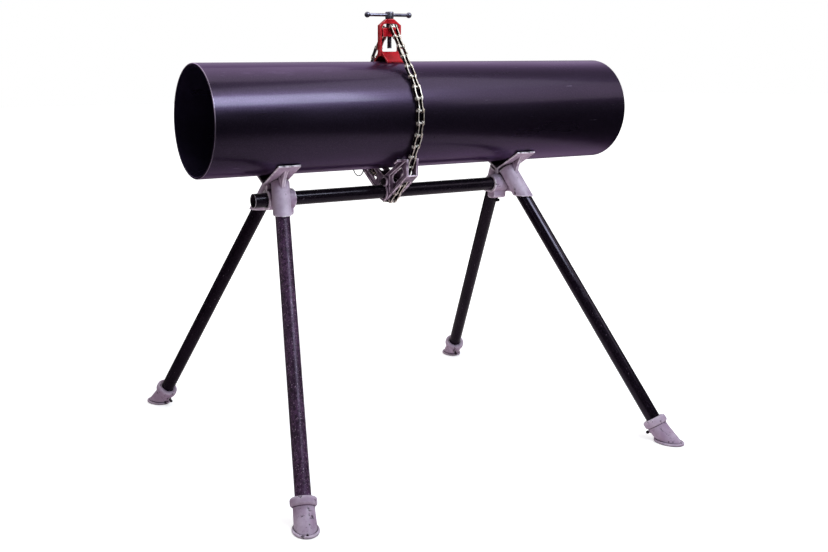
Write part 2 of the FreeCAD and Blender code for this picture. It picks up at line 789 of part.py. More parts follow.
block_top = seat_z + block_above_seat
retainer_top = block_top + block_top_gap + retainer_height
crown_under = retainer_top + rest_gap
crown_top = crown_under + yoke_crown_wall
hub_bottom = crown_top + rest_gap
window_half = yoke_width / 2 - yoke_upright


def make_yoke():
    half = yoke_width / 2
    crown = yoke_crown_radius
    shoulder = crown_top - yoke_shoulder_drop
    base = work_top + yoke_base_top
    low = work_top + yoke_base_top / 4
    outline = [(-half, low), (-half, shoulder), (-crown, crown_top), (crown, crown_top), (half, shoulder),
               (half, low)]
    frame = prism_y([(vise_x + x, z) for x, z in outline], yoke_thickness / 2)
    boss = rod(crown, point(vise_x, 0, crown_under), point(vise_x, 0, crown_top))

    foot = yoke_base_width / 2
    top = yoke_thickness / 2
    under = work_z + math.sqrt(work_radius ** 2 - foot ** 2) - yoke_seat_depth
    edge = under + yoke_seat_depth + yoke_base_edge
    profile = [(-foot, under), (-foot, edge), (-top, base), (top, base), (foot, edge), (foot, under)]
    shape = frame.fuse([boss, prism_x(profile, vise_x - yoke_base_length / 2, vise_x + yoke_base_length / 2)])

    # window, its upper corners rounder than the lower ones
    window = Part.makeBox(2 * window_half, yoke_thickness * 4, crown_under - base,
                          point(vise_x - window_half, -yoke_thickness * 2, base))
    across = [e for e in window.Edges if e.BoundBox.YLength > 1]
    window = window.makeFillet(yoke_corner_round, [e for e in across if e.BoundBox.ZMax < base + 1])
    across = [e for e in window.Edges if e.BoundBox.YLength > 1 and e.BoundBox.ZMin > crown_under - 1]
    window = window.makeFillet(yoke_window_round, [e for e in across if e.BoundBox.XLength < 1])
    hole = rod(screw_radius + screw_fit, point(vise_x, 0, base), point(vise_x, 0, hub_bottom + 1))

    # tunnel over the workpiece, and the seat on its surface
    arch_half = yoke_arch_width / 2
    arch_top = work_top + yoke_arch_height
    chord_z = work_z + math.sqrt(work_radius ** 2 - arch_half ** 2)
    rise = arch_top - chord_z
    arch_radius = (arch_half ** 2 + rise ** 2) / (2 * rise)
    reach = yoke_base_length
    tunnel = rod(arch_radius, point(vise_x - reach, 0, arch_top - arch_radius),
                 point(vise_x + reach, 0, arch_top - arch_radius))
    work = rod(work_radius + rest_gap, point(vise_x - reach, 0, work_z), point(vise_x + reach, 0, work_z))
    return shape.cut([window, hole, tunnel, work]).removeSplitter()


def make_screw():
    tip = point(vise_x, 0, work_top + screw_end)
    neck = point(vise_x, 0, hub_bottom)
    shaft = rod(screw_radius, tip, neck + Z)
    rim = [e for e in shaft.Edges if e.Closed and e.BoundBox.ZMax < tip.z + 1]
    shaft = shaft.makeChamfer(screw_pitch * screw_tip_share, rim)
    hub = rod(hub_radius, neck, neck + Z * hub_height)
    hub = hub.makeFillet(hub_round, [e for e in hub.Edges if e.Closed and e.BoundBox.ZMin > neck.z + 1])
    hole_start = point(vise_x - hub_radius * 2, 0, crown_top + hub_hole_rise)
    hole = rod(handle_radius + screw_fit, hole_start, hole_start + X * (hub_radius * 4))
    cross_start = point(vise_x, -retainer_radius, retainer_top - retainer_height / 2)
    cross = rod(retainer_pin_radius, cross_start, cross_start + Y * (retainer_radius * 2))
    return shaft.fuse(hub).cut([hole, cross]).removeSplitter()


def make_retainer():
    low = point(vise_x, 0, retainer_top - retainer_height)
    ring = rod(retainer_radius, low, low + Z * retainer_height)
    ring = ring.makeChamfer(retainer_chamfer, [e for e in ring.Edges if e.Closed and e.Length > 20])
    bore = rod(screw_radius + screw_fit, low - Z, low + Z * (retainer_height + 1))
    cross_start = point(vise_x, -retainer_radius - 1, low.z + retainer_height / 2)
    cross = rod(retainer_pin_radius, cross_start, cross_start + Y * (retainer_radius * 2 + 2))
    return ring.cut([bore, cross]).removeSplitter()


def make_retainer_pin():
    z = retainer_top - retainer_height / 2
    reach = retainer_radius - retainer_pin_inset
    return rod(retainer_pin_radius - screw_fit, point(vise_x, -reach, z), point(vise_x, reach, z))


def make_block():
    half = window_half - block_side_gap
    depth = block_thickness / 2
    low_corner = point(vise_x - half, -depth, block_top - block_height)
    body = Part.makeBox(2 * half, 2 * depth, block_height, low_corner)
    corner = max(block_corner, yoke_window_round - (crown_under - block_top) + 1)
    across = [e for e in body.Edges if e.BoundBox.YLength > 1]
    body = body.makeFillet(corner, [e for e in across if e.BoundBox.XLength < 1 and e.BoundBox.ZLength < 1])
    pieces = []
    for side in (-1, 1):
        reach = chain_hook_y + arm_tip
        seat_end = chain_hook_y + chain_pin_radius + arm_seat
        outline = [(0, seat_z), (side * seat_end, seat_z),
                   (side * (seat_end + arm_lip_slope), seat_z + arm_lip),
                   (side * reach, seat_z + arm_lip), (side * reach, seat_z - arm_depth * 0.5),
                   (side * depth, seat_z - arm_depth), (0, seat_z - arm_depth)]
        pieces.append(prism_x(outline, vise_x - arm_width / 2, vise_x + arm_width / 2))
    hole = rod(screw_radius + screw_fit, point(vise_x, 0, block_top - block_height - 1),
               point(vise_x, 0, block_top + 1))
    return body.fuse(pieces).cut(hole).removeSplitter()


def handle_centre():
    return point(vise_x + handle_shift, 0, crown_top + hub_hole_rise)


def make_handle():
    half = handle_length / 2 - handle_ball_radius + handle_ball_grip
    return rod(handle_radius, handle_centre() - X * half, handle_centre() + X * half)


def make_handle_ball(side):
    centre = handle_centre() + X * (side * handle_length / 2)
    half = handle_length / 2 - handle_ball_radius + handle_ball_grip
    ball = Part.makeSphere(handle_ball_radius, centre)
    return ball.cut(rod(handle_radius, handle_centre(), handle_centre() + X * (side * half)))


# ---------------------------------------------------------------- write

os.makedirs("parts", exist_ok=True)

write(make_beam(), "beam_tube")
write(make_workpiece(), "workpiece_pipe")

ends = {"left": -1, "right": 1}
sides = {"front": -1, "rear": 1}
for end_name, end in ends.items():
    write(make_head(end), "saddle_head_" + end_name)
    write(make_head_screw(end), "head_screw_" + end_name)
    for side_name, side in sides.items():
        place = side_name + "_" + end_name
        write(make_leg_tube(end, side), "leg_tube_" + place)
        write(make_foot(end, side), "foot_" + place)
        write(make_foot_screw(end, side), "foot_screw_" + place)

write(make_bracket(), "vise_bracket")
write(make_cross_bolt(), "bracket_bolt")
write(make_cross_nut(), "bracket_nut")
write(make_bail(), "keeper_bail")

first_fixed = 2 * chain_swing_links
last_link = len(chain_pins) - 1
write(Part.makeCompound(chain_group(first_fixed, last_link, "outer")), "chain_outer_plates")
write(Part.makeCompound(chain_group(first_fixed, last_link, "inner")), "chain_inner_plates")
write(Part.makeCompound(chain_group(first_fixed, last_link, "pins")), "chain_pins")
for piece, first in (("end", 0), ("mid", chain_swing_links)):
    last = first + chain_swing_links
    plates = chain_group(first, last, "outer") + chain_group(first, last, "inner")
    write(Part.makeCompound(plates), "chain_" + piece + "_plates")
    write(Part.makeCompound(chain_group(first, last, "pins")), "chain_" + piece + "_pins")

write(make_yoke(), "yoke_frame")
write(make_screw(), "yoke_screw")
write(make_retainer(), "retaining_collar")
write(make_retainer_pin(), "collar_pin")
write(make_block(), "chain_block")
write(make_handle(), "handle_bar")
write(make_handle_ball(-1), "handle_ball_left")
write(make_handle_ball(1), "handle_ball_right")

print("workpiece axis", round(work_z, 2), "hooked pins", round(hook_z, 2), "seat", round(seat_z, 2))
print("links", last_link)
for name, k in (("end", chain_swing_links), ("mid", 2 * chain_swing_links)):
    print("chain", name, "hinge at y z", round(chain_pins[k][0], 3), round(chain_pins[k][1], 3))
print("screw axis at x", round(vise_x, 3), "and the block goes down per turn", screw_pitch)
print("bail pivot at y z", bail_pivot_y, round(beam_z + bail_pivot_rise, 3))
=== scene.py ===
import json
import math

import bmesh
import bpy
import numpy as np
from mathutils import Matrix, Vector


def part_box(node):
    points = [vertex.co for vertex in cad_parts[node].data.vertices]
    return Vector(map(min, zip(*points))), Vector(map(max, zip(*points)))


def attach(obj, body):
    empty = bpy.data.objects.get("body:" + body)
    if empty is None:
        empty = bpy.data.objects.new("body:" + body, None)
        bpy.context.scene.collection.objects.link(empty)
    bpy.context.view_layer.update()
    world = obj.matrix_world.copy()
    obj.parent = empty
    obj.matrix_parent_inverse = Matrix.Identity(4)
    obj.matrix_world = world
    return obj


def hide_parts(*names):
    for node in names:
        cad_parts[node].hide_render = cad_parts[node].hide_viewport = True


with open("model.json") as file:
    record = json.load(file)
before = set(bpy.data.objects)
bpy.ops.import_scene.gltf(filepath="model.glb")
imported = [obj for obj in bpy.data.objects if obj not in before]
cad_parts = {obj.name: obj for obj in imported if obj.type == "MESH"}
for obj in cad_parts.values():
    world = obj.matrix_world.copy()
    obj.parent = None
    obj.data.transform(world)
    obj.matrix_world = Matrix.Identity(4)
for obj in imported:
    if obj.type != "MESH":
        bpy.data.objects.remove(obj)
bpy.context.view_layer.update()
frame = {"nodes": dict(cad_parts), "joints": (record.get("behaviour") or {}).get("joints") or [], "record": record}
nodes = frame["nodes"]
joints = {joint["name"]: joint for joint in frame["joints"]}
mounts = {mount["name"]: mount for mount in frame["record"]["mounts"]}
xAxis = np.array([1.0, 0.0, 0.0])
zAxis = np.array([0.0, 0.0, 1.0])
print("frame loaded:", len(nodes), "nodes")

# mesh tools

meshing = {"merge": 1e-6, "cadMerge": 1e-5, "sharp": 32, "castSharp": 70, "relax": 0.5, "steep": 0.9}


def unit(v):
    # the vector divided by its own length
    v = np.asarray(v, float)
    return v / np.linalg.norm(v)


def crossFrame(axis):
    # two unit vectors square to an axis, so that (a, b, axis) is right-handed; X guides a steep axis
    axis = unit(axis)
    a = unit(np.cross(zAxis if abs(axis[2]) < meshing["steep"] else xAxis, axis))
    return a, np.cross(axis, a), axis


def ringPoints(start, axis, along, size, turn):
    # point = start + axis * along + size * (a * cos(turn) + b * sin(turn)), for every row and every turn
    a, b, n = crossFrame(axis)
    ring = np.outer(np.cos(turn), a) + np.outer(np.sin(turn), b)
    return (np.asarray(start, float) + along[..., None] * n + size[..., None] * ring).reshape(-1, 3)


def gridQuads(rows, columns, closed=False):
    # quads of a rows x columns grid of points, joined up across its columns and, when closed, its rows
    number = np.arange(rows * columns).reshape(rows, columns)
    if closed:
        number = np.vstack([number, number[:1]])
    number = np.hstack([number, number[:, :1]])
    corners = [number[:-1, :-1], number[:-1, 1:], number[1:, 1:], number[1:, :-1]]
    return np.stack(corners, -1).reshape(-1, 4)


def fullTurn(around):
    return np.linspace(0, 2 * math.pi, around, endpoint=False)


def revolve(profile, start, axis, around=48, closed=False, ripple=None):
    # a profile of (radius, place) turned round an axis; a ripple makes the radius change with the turn
    profile = np.asarray(profile, float)
    turn = fullTurn(around)
    wave = np.ones(around) if ripple is None else ripple(turn)
    points = ringPoints(start, axis, profile[:, 1:], profile[:, :1] * wave, turn)
    return points, gridQuads(len(profile), around, closed)


def tubeProfile(outer, inner, length, bevel, fade=0.0004):
    # closed loop round a tube's wall, its outer rims beveled and painted bright, partly bare worn steel and partly
    # a painted
    # highlight: radius, place, wear and sheen; a value of -1 marks the bore
    rim = [(outer - bevel - fade, 0, 0), (outer - bevel, 0, 1), (outer, bevel, 1), (outer, bevel + fade, 0)]
    lip = [(inner, fade, -1), (inner + fade, 0, 0)]
    farRim, farLip = ([(r, length - z, wearAndSheen) for r, z, wearAndSheen in reversed(end)] for end in (rim, lip))
    return rim + [(outer, length / 2, 0)] + farRim + farLip + [(inner, length / 2, -1)] + lip


def tubePiece(name, outer, inner, start, axis, length, bevel, around):
    profile = np.array(tubeProfile(outer, inner, length, bevel))
    grid = revolve(profile[:, :2], start, axis, around, closed=True)
    return gridPiece(name, [grid], rims=np.repeat(profile[:, 2], around))


def joinGrids(parts):
    # the points of all grids in one list, each grid's quads counted on from the one before
    points, quads, count = [], [], 0
    for partPoints, partQuads in parts:
        points.append(partPoints)
        quads.append(partQuads + count)
        count += len(partPoints)
    return np.vstack(points), np.vstack(quads)


def addObject(name, data):
    made = bpy.data.objects.new(name, data)
    bpy.context.scene.collection.objects.link(made)
    return made


def cleanMesh(mesh, sharp=meshing["sharp"]):
    # doubles at poles and seams are merged, faces turned outwards, edges over an angle kept sharp
    work = bmesh.new()
    work.from_mesh(mesh)
    bmesh.ops.remove_doubles(work, verts=work.verts, dist=meshing["merge"])
    bmesh.ops.dissolve_degenerate(work, edges=work.edges, dist=meshing["merge"] / 2)
    bmesh.ops.recalc_face_normals(work, faces=work.faces)
    work.to_mesh(mesh)
    work.free()
    mesh.shade_smooth()
    mesh.set_sharp_from_angle(angle=math.radians(sharp))


def gridPiece(name, parts, sharp=meshing["sharp"], rims=None):
    # rims: for each point, how near it is to a rim painted bright, partly wear and partly a painted highlight
    points, quads = joinGrids(parts)
    mesh = bpy.data.meshes.new(name)
    mesh.vertices.add(len(points))
    mesh.vertices.foreach_set("co", points.astype(np.float32).ravel())
    mesh.loops.add(quads.size)
    mesh.loops.foreach_set("vertex_index", quads.astype(np.int32).ravel())
    mesh.polygons.add(len(quads))
    mesh.polygons.foreach_set("loop_start", np.arange(0, quads.size, 4, dtype=np.int32))
    mesh.update(calc_edges=True)
    mesh.validate()
    if rims is not None:
        mesh.attributes.new("rim", "FLOAT", "POINT").data.foreach_set("value", rims.astype(np.float32))
    cleanMesh(mesh, sharp)
    return addObject(name, mesh)


def dress(piece, material, slotName, body, *replaced):
    # a finished piece gets its material, rides on its body and stands for its CAD nodes
    piece.data.materials.clear()
    piece.data.materials.append(material)
    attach(piece, body)
    if replaced:
        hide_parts(*replaced)


def applyModifiers(piece):
    graph = bpy.context.evaluated_depsgraph_get()
    finished = bpy.data.meshes.new_from_object(piece.evaluated_get(graph))
    piece.modifiers.clear()
    piece.data = finished


def weldedCopy(mesh):
    # a CAD mesh is loose triangles, so a copy has their shared corners merged
    work = bmesh.new()
    work.from_mesh(mesh)
    bmesh.ops.remove_doubles(work, verts=work.verts, dist=meshing["cadMerge"])
    return work


def castCopy(name, node, voxel, rounds):
    # a CAD node's copy, remeshed and relaxed, so that its edges and inner corners are cast ones
    mesh = nodes[node].data.copy()
    mesh.name = name
    piece = addObject(name, mesh)
    work = weldedCopy(mesh)
    work.to_mesh(mesh)
    work.free()
    remesh = piece.modifiers.new("skin", "REMESH")
    remesh.mode = "VOXEL"
    remesh.voxel_size = voxel
    relax = piece.modifiers.new("relax", "SMOOTH")
    relax.factor = meshing["relax"]
    relax.iterations = rounds
    applyModifiers(piece)
    piece.data.shade_smooth()
    piece.data.set_sharp_from_angle(angle=math.radians(meshing["castSharp"]))
    return piece


def boxOf(node):
    low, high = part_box(node)
    return np.array(low), np.array(high)


def cornersOf(node):
    return np.array([v.co for v in nodes[node].data.vertices])


# material tools

noiseLow, noiseHigh = 0.3, 0.7  # the span that a noise texture mostly keeps to
shelterRays = 6


def mapRange(tree, source, low, high, lowValue=0.0, highValue=1.0, smooth=False):
    # the span from low to high becomes that from lowValue to highValue, and stays at its ends
    node = tree.nodes.new("ShaderNodeMapRange")
    node.interpolation_type = "SMOOTHSTEP" if smooth else "LINEAR"
    for name, value in (("From Min", low), ("From Max", high), ("To Min", lowValue), ("To Max", highValue)):
        node.inputs[name].default_value = value
    tree.links.new(source, node.inputs["Value"])
    return node.outputs["Result"]


class Maker:
    # one material's nodes: each call adds a node and gives back its result's socket

    def __init__(self, name, rough, metallic=0.0, coat=0.0, coatRough=0.1, specular=0.5, tint=(1, 1, 1)):
        self.material = bpy.data.materials.new(name)
        self.material.use_nodes = True
        self.tree = self.material.node_tree
        self.shader = self.tree.nodes["Principled BSDF"]
        finish = {"Roughness": rough, "Metallic": metallic, "Specular IOR Level": specular,
                  "Specular Tint": (*tint, 1.0), "Coat Weight": coat, "Coat Roughness": coatRough,
                  "Coat Tint": (*tint, 1.0)}
        for socket, value in finish.items():
            self.shader.inputs[socket].default_value = value
        self.place = self.add("TexCoord").outputs["Object"]

    def add(self, kind, **values):
        # a new node of a kind, with the values of its named sockets
        node = self.tree.nodes.new("ShaderNode" + kind)
        for socket, value in values.items():
            node.inputs[socket].default_value = value
        return node

    def join(self, source, target):
        self.tree.links.new(source, target)

    def mapped(self, scale=(1, 1, 1), shift=(0, 0, 0)):
        mapping = self.add("Mapping", Scale=scale, Location=shift)
        self.join(self.place, mapping.inputs["Vector"])
        return mapping.outputs["Vector"]

    def noise(self, scale, detail=3, rough=0.5, stretch=(1, 1, 1)):
        place = self.mapped(stretch)
        node = self.add("TexNoise", Scale=scale, Detail=detail, Roughness=rough)
        self.join(place, node.inputs["Vector"])
        return node.outputs["Fac"]

    def cells(self, scale):
        # distance from the middle of the nearest cell
        place = self.mapped()
        node = self.add("TexVoronoi", Scale=scale)
        self.join(place, node.inputs["Vector"])
        return node.outputs["Distance"]

    def attribute(self, name):
        node = self.add("Attribute")
        node.attribute_name = name
        return node.outputs["Fac"]

    def edges(self):
        # near 0.5 on flat ground, higher on convex edges, lower in corners
        return self.add("NewGeometry").outputs["Pointiness"]

    def facing(self, letter):
        # one part of the surface's own direction
        split = self.add("SeparateXYZ")
        self.join(self.add("NewGeometry").outputs["True Normal"], split.inputs[0])
        return split.outputs[letter]

    def measure(self, operation, place, other=None):
        # the length of a place, or its distance from or dot product with another
        node = self.add("VectorMath")
        node.operation = operation
        self.join(place, node.inputs[0])
        if other is not None:
            node.inputs[1].default_value = other
        return node.outputs["Value"]

    def fromAxis(self, height):
        # distance = length of (0, y, z - height), from a line along X at a height
        return self.measure("LENGTH", self.mapped((0, 1, 1), (0, 0, -height)))

    def shelter(self, reach):
        # 1 in the open, less where other ground lies near
        node = self.add("AmbientOcclusion", Distance=reach)
        node.samples = shelterRays
        return node.outputs["AO"]

    def ramp(self, source, low, high, lowValue=0.0, highValue=1.0):
        return mapRange(self.tree, source, low, high, lowValue, highValue)

    def calculate(self, operation, first, second):
        # the second is a socket or a plain number
        node = self.add("Math")
        node.operation = operation
        self.join(first, node.inputs[0])
        if isinstance(second, float):
            node.inputs[1].default_value = second
        else:
            self.join(second, node.inputs[1])
        return node.outputs[0]

    def times(self, first, second):
        return self.calculate("MULTIPLY", first, second)

    def blend(self, share, first, second):
        # colours or sockets, mixed by a share
        node = self.add("Mix")
        node.data_type = "RGBA"
        self.join(share, node.inputs["Factor"])
        for value, socket in ((first, node.inputs[6]), (second, node.inputs[7])):
            if isinstance(value, tuple):
                socket.default_value = (*value, 1.0)
            else:
                self.join(value, socket)
        return node.outputs[2]

    def colour(self, source):
        self.join(source, self.shader.inputs["Base Color"])

    def roughness(self, source, middle, spread):
        # spread: how far the roughness goes below and above its middle
        below, above = spread
        level = self.ramp(source, noiseLow, noiseHigh, middle - below, middle + above)
        self.join(level, self.shader.inputs["Roughness"])

    def bump(self, *layers):
        # layers of (height, strength, distance), each laid over the one before
        normal = None
        for height, strength, distance in layers:
            node = self.add("Bump", Strength=strength, Distance=distance)
            self.join(height, node.inputs["Height"])
            if normal is not None:
                self.join(normal, node.inputs["Normal"])
            normal = node.outputs["Normal"]
        self.join(normal, self.shader.inputs["Normal"])


# painted castings

castWearAndShade = {"coatRough": 0.25, "cloud": (0.38, 0.62), "mottle": (0.48, 0.68), "cornerTo": 0.49,
            "saddleFade": 0.003, "upward": (-0.1, 0.15), "upwardShare": 0.93, "patchScale": 60,
            "patch": (0.32, 0.56), "chipFade": 0.03, "chipShare": 0.9, "roughScale": 35,
            "roughSpread": (0.08, 0.1), "moundScale": 0.18, "moundHigh": 0.001, "grainHigh": 0.0004}


def castPaint(name, look):
    # paint over a sand casting: grain and mottle from the mould; pale edges, partly worn paint and partly a
    # painted highlight;
    # corners and sheltered hollows darkened, partly dirt and partly painted shade; in a saddle, what faces up near
    # the pipe darkened, partly grime and partly painted shadow
    make = Maker(name, look["rough"], coat=look["coat"], coatRough=castWearAndShade["coatRough"],
                 specular=look["specular"])
    cloud = make.noise(look["cloudScale"], detail=4)
    colour = make.blend(make.ramp(cloud, *castWearAndShade["cloud"]), look["colour"], look["shade"])
    mottle = make.noise(look["mottleScale"], detail=5, rough=0.65)
    colour = make.blend(make.ramp(mottle, *castWearAndShade["mottle"], 0.0, look["mottle"]), colour, look["shade"])
    # painted shade, with some dirt: ambient occlusion darkens what lies sheltered, such as corners, the socket
    # under the saddle plate and the yoke's tunnel
    near = make.ramp(make.shelter(look["shelterReach"]), look["shelterFrom"], look["shelterTo"], look["dirtAndShade"], 0.0)
    colour = make.blend(near, colour, look["corner"])
    # painted shadow under the pipe, with some grime where it rubs: saddle faces that look up within reach of the
    # pipe go dark
    if "saddle" in look:
        fromPipe = make.fromAxis(workMiddle)
        rubbedOrShaded = make.ramp(fromPipe, look["saddle"], look["saddle"] + castWearAndShade["saddleFade"], 1.0, 0.0)
        upward = make.ramp(make.facing("Z"), *castWearAndShade["upward"], 0.0, castWearAndShade["upwardShare"])
        colour = make.blend(make.times(rubbedOrShaded, upward), colour, look["corner"])
    # painted shade, with some dirt: concave corners, found by pointiness, go dark
    grimeAndShade = make.ramp(make.edges(), look["cornerAt"], castWearAndShade["cornerTo"], look["dirtAndShade"], 0.0)
    colour = make.blend(grimeAndShade, colour, look["corner"])
    # painted highlight, with worn paint: convex edges, found by pointiness, go pale in patches
    patchy = make.ramp(make.noise(castWearAndShade["patchScale"], detail=5), *castWearAndShade["patch"])
    wearAndSheen = make.times(make.ramp(make.edges(), look["edgeFrom"], look["edgeAt"]), patchy)
    colour = make.blend(make.times(wearAndSheen, look["edgeShare"]), colour, look["edge"])
    chips = make.noise(look["chipScale"], detail=8, rough=0.7)
    chips = make.ramp(chips, look["chipAt"], look["chipAt"] + castWearAndShade["chipFade"])
    make.colour(make.blend(make.times(chips, castWearAndShade["chipShare"]), colour, look["corner"]))
    grain = make.noise(look["grainScale"], detail=5, rough=0.6)
    make.roughness(make.noise(castWearAndShade["roughScale"]), look["rough"], castWearAndShade["roughSpread"])
    mounds = make.noise(look["grainScale"] * castWearAndShade["moundScale"])
    make.bump((mounds, look["grain"], castWearAndShade["moundHigh"]), (grain, look["grain"], castWearAndShade["grainHigh"]))
    return make.material


workLow, workHigh = boxOf("workpiece_pipe")
workMiddle = (workLow[2] + workHigh[2]) / 2
workOuter = (workHigh[2] - workLow[2]) / 2

greyLook = {
    "colour": (0.6, 0.48, 0.61), "shade": (0.38, 0.26, 0.38), "corner": (0.022, 0.009, 0.02),
    "edge": (0.96, 0.86, 0.95), "edgeFrom": 0.503, "edgeAt": 0.518, "edgeShare": 1.0, "cornerAt": 0.465,
    "dirtAndShade": 0.9, "shelterReach": 0.03, "shelterFrom": 0.1, "shelterTo": 0.74, "mottle": 0.5, "mottleScale": 120,
    "chipScale": 30, "chipAt": 0.62,
    "rough": 0.42, "specular": 0.3, "coat": 0.05, "cloudScale": 14, "grainScale": 900, "grain": 0.5}
castGrey = castPaint("castGrey", {**greyLook, "saddle": workOuter + 0.014})
# the feet are kicked and scraped more than the heads
footGrey = castPaint("footGrey", {
    **greyLook, "shelterReach": 0.012, "shelterFrom": 0.35, "shelterTo": 0.9, "chipScale": 60, "chipAt": 0.585,
    "mottle": 0.58, "edgeShare": 0.3, "cornerAt": 0.48})
bracketGrey = castPaint("bracketGrey", {
    **greyLook,
    "colour": (0.27, 0.175, 0.27), "shade": (0.075, 0.04, 0.075), "corner": (0.006, 0.003, 0.007),
    "edge": (0.9, 0.74, 0.88), "edgeAt": 0.515, "dirtAndShade": 0.92, "shelterReach": 0.012, "shelterFrom": 0.35,
    "shelterTo": 0.8, "mottle": 0.6, "mottleScale": 150, "chipScale": 34, "cloudScale": 42})
# the yoke's tunnel and sheltered corners are painted near black as shade
yokeRed = castPaint("yokeRed", {
    "colour": (0.6, 0.008, 0.02), "shade": (0.5, 0.006, 0.015), "corner": (0.03, 0.001, 0.002),
    "edge": (0.88, 0.2, 0.21), "edgeFrom": 0.512, "edgeAt": 0.535, "edgeShare": 0.7, "cornerAt": 0.44,
    "dirtAndShade": 0.95, "shelterReach": 0.022, "shelterFrom": 0.28, "shelterTo": 0.56, "mottle": 0.1, "mottleScale": 160,
    "chipScale": 26, "chipAt": 0.85,
    "rough": 0.38, "specular": 0.22, "coat": 0.0, "cloudScale": 22, "grainScale": 700, "grain": 0.25})

# coated pipes

pipeWear = {"cloud": (0.38, 0.62), "fleck": (0.48, 0.6), "rubFade": 0.08, "scratch": (0.73, 0.77),
            "keptScale": 4, "kept": (0.52, 0.6), "keptShare": 0.7, "spot": (0.035, 0.06),
            "bore": (-0.8, -0.2), "roughScale": 1.7, "roughSpread": (0.06, 0.1), "swellHigh": 0.004,
            "lineHigh": 0.0004, "fleckHigh": 0.0004}


def pipeCoat(name, look):
    # mill coating: cloudy film, scale flecks, fine drawn lines and scratches along the pipe, small spots,
    # bare worn rims painted bright, partly wear and partly a painted highlight, and a bore of its own colour
    make = Maker(name, look["rough"], look["metallic"], look["coat"], look["coatRough"], look["specular"],
                 look["tint"])
    cloud = make.noise(look["cloudScale"], detail=5, rough=0.55, stretch=look["cloudStretch"])
    colour = make.blend(make.ramp(cloud, *pipeWear["cloud"]), look["colour"], look["shade"])
    fleck = make.noise(look["fleckScale"], detail=4, rough=0.7)
    fleck = make.ramp(fleck, *pipeWear["fleck"], 0.0, look["fleckShare"])
    colour = make.blend(fleck, colour, look["fleck"])
    rubbedOrShaded = make.noise(look["rubScale"], detail=6, rough=0.7, stretch=look["rubStretch"])
    rubbedOrShaded = make.ramp(rubbedOrShaded, look["rubFrom"], look["rubFrom"] + pipeWear["rubFade"], 0.0,
                       look["rubShare"])
    colour = make.blend(rubbedOrShaded, colour, look["rub"])
    scratch = make.noise(look["scratchScale"], detail=2, stretch=look["scratchStretch"])
    scratch = make.ramp(scratch, *pipeWear["scratch"])
    kept = make.noise(look["cloudScale"] * pipeWear["keptScale"], detail=2)
    kept = make.ramp(kept, *pipeWear["kept"], 0.0, pipeWear["keptShare"])
    colour = make.blend(make.times(scratch, kept), colour, look["scratch"])
    spots = make.times(make.ramp(make.cells(look["dingScale"]), *pipeWear["spot"], 1.0, 0.0), kept)
    colour = make.blend(spots, colour, look["ding"])
    # rims pale, partly bare wear and partly a painted highlight
    wearAndSheen = make.attribute("rim")
    colour = make.blend(make.ramp(wearAndSheen, *pipeWear["bore"], 1.0, 0.0), colour, look["bore"])
    make.colour(make.blend(wearAndSheen, colour, look["rim"]))
    gloss = make.noise(look["cloudScale"] * pipeWear["roughScale"], detail=4, stretch=look["rubStretch"])
    make.roughness(gloss, look["rough"], pipeWear["roughSpread"])
    lines = make.noise(look["lineScale"], rough=0.6, stretch=look["scratchStretch"])
    swell = make.noise(look["swellScale"], stretch=look["rubStretch"])
    flecks = make.noise(look["fleckScale"])
    make.bump((swell, look["swell"], pipeWear["swellHigh"]),
              (lines, look["lineDepth"], pipeWear["lineHigh"]),
              (flecks, look["fleckDepth"], pipeWear["fleckHigh"]))
    return make.material


workCoat = pipeCoat("workCoat", {
    "colour": (0.043, 0.031, 0.053), "shade": (0.034, 0.024, 0.042), "rough": 0.29, "metallic": 0.9,
    "tint": (0.84, 0.62, 1.0), "specular": 0.3, "coat": 0.25, "coatRough": 0.13,
    "cloudScale": 4, "cloudStretch": (0.35, 1, 1), "fleck": (0.062, 0.044, 0.076), "fleckScale": 300,
    "fleckShare": 0.5, "rub": (0.075, 0.056, 0.092), "rubScale": 12, "rubShare": 0.6, "rubFrom": 0.64,
    "rubStretch": (0.25, 1, 1), "scratch": (0.3, 0.26, 0.34), "scratchScale": 260,
    "scratchStretch": (0.05, 1, 1), "rim": (0.62, 0.55, 0.64), "bore": (0.11, 0.09, 0.17),
    "dingScale": 16, "ding": (0.006, 0.004, 0.008), "swellScale": 9, "swell": 0.12,
    "lineScale": 160, "lineDepth": 0.14, "fleckDepth": 0.06})
standLook = {
    "metallic": 0.0, "coat": 0.0, "coatRough": 0.15, "rubFrom": 0.64, "scratchScale": 420,
    "rim": (0.7, 0.62, 0.68), "bore": (0.03, 0.02, 0.03), "dingScale": 60, "swellScale": 30,
    "swell": 0.05, "lineScale": 420, "lineDepth": 0.08}
beamBlack = pipeCoat("beamBlack", {
    **standLook,
    "colour": (0.009, 0.006, 0.01), "shade": (0.004, 0.0025, 0.005), "rough": 0.19,
    "tint": (0.95, 0.8, 1.0), "specular": 0.22, "cloudScale": 16, "cloudStretch": (0.4, 1, 1),
    "fleck": (0.012, 0.008, 0.013), "fleckScale": 320, "fleckShare": 0.6, "fleckDepth": 0.1,
    "rub": (0.2, 0.15, 0.2), "rubScale": 130, "rubShare": 0.5, "rubStretch": (0.5, 1, 1),
    "scratch": (0.45, 0.38, 0.44), "scratchStretch": (0.1, 1, 1), "ding": (0.16, 0.12, 0.16)})
legLook = {
    **standLook,
    "colour": (0.009, 0.005, 0.01), "shade": (0.004, 0.002, 0.005), "rough": 0.17,
    "tint": (0.9, 0.76, 1.0), "specular": 0.1, "cloudScale": 18, "cloudStretch": (1, 1, 0.3),
    "fleck": (0.02, 0.012, 0.021), "fleckScale": 260, "fleckShare": 0.5, "fleckDepth": 0.12,
    "rub": (0.3, 0.22, 0.3), "rubScale": 150, "rubShare": 0.45, "rubStretch": (1, 1, 0.5),
    "scratch": (0.45, 0.36, 0.44), "scratchStretch": (1, 1, 0.1), "ding": (0.2, 0.14, 0.19)}
legDark = pipeCoat("legDark", legLook)
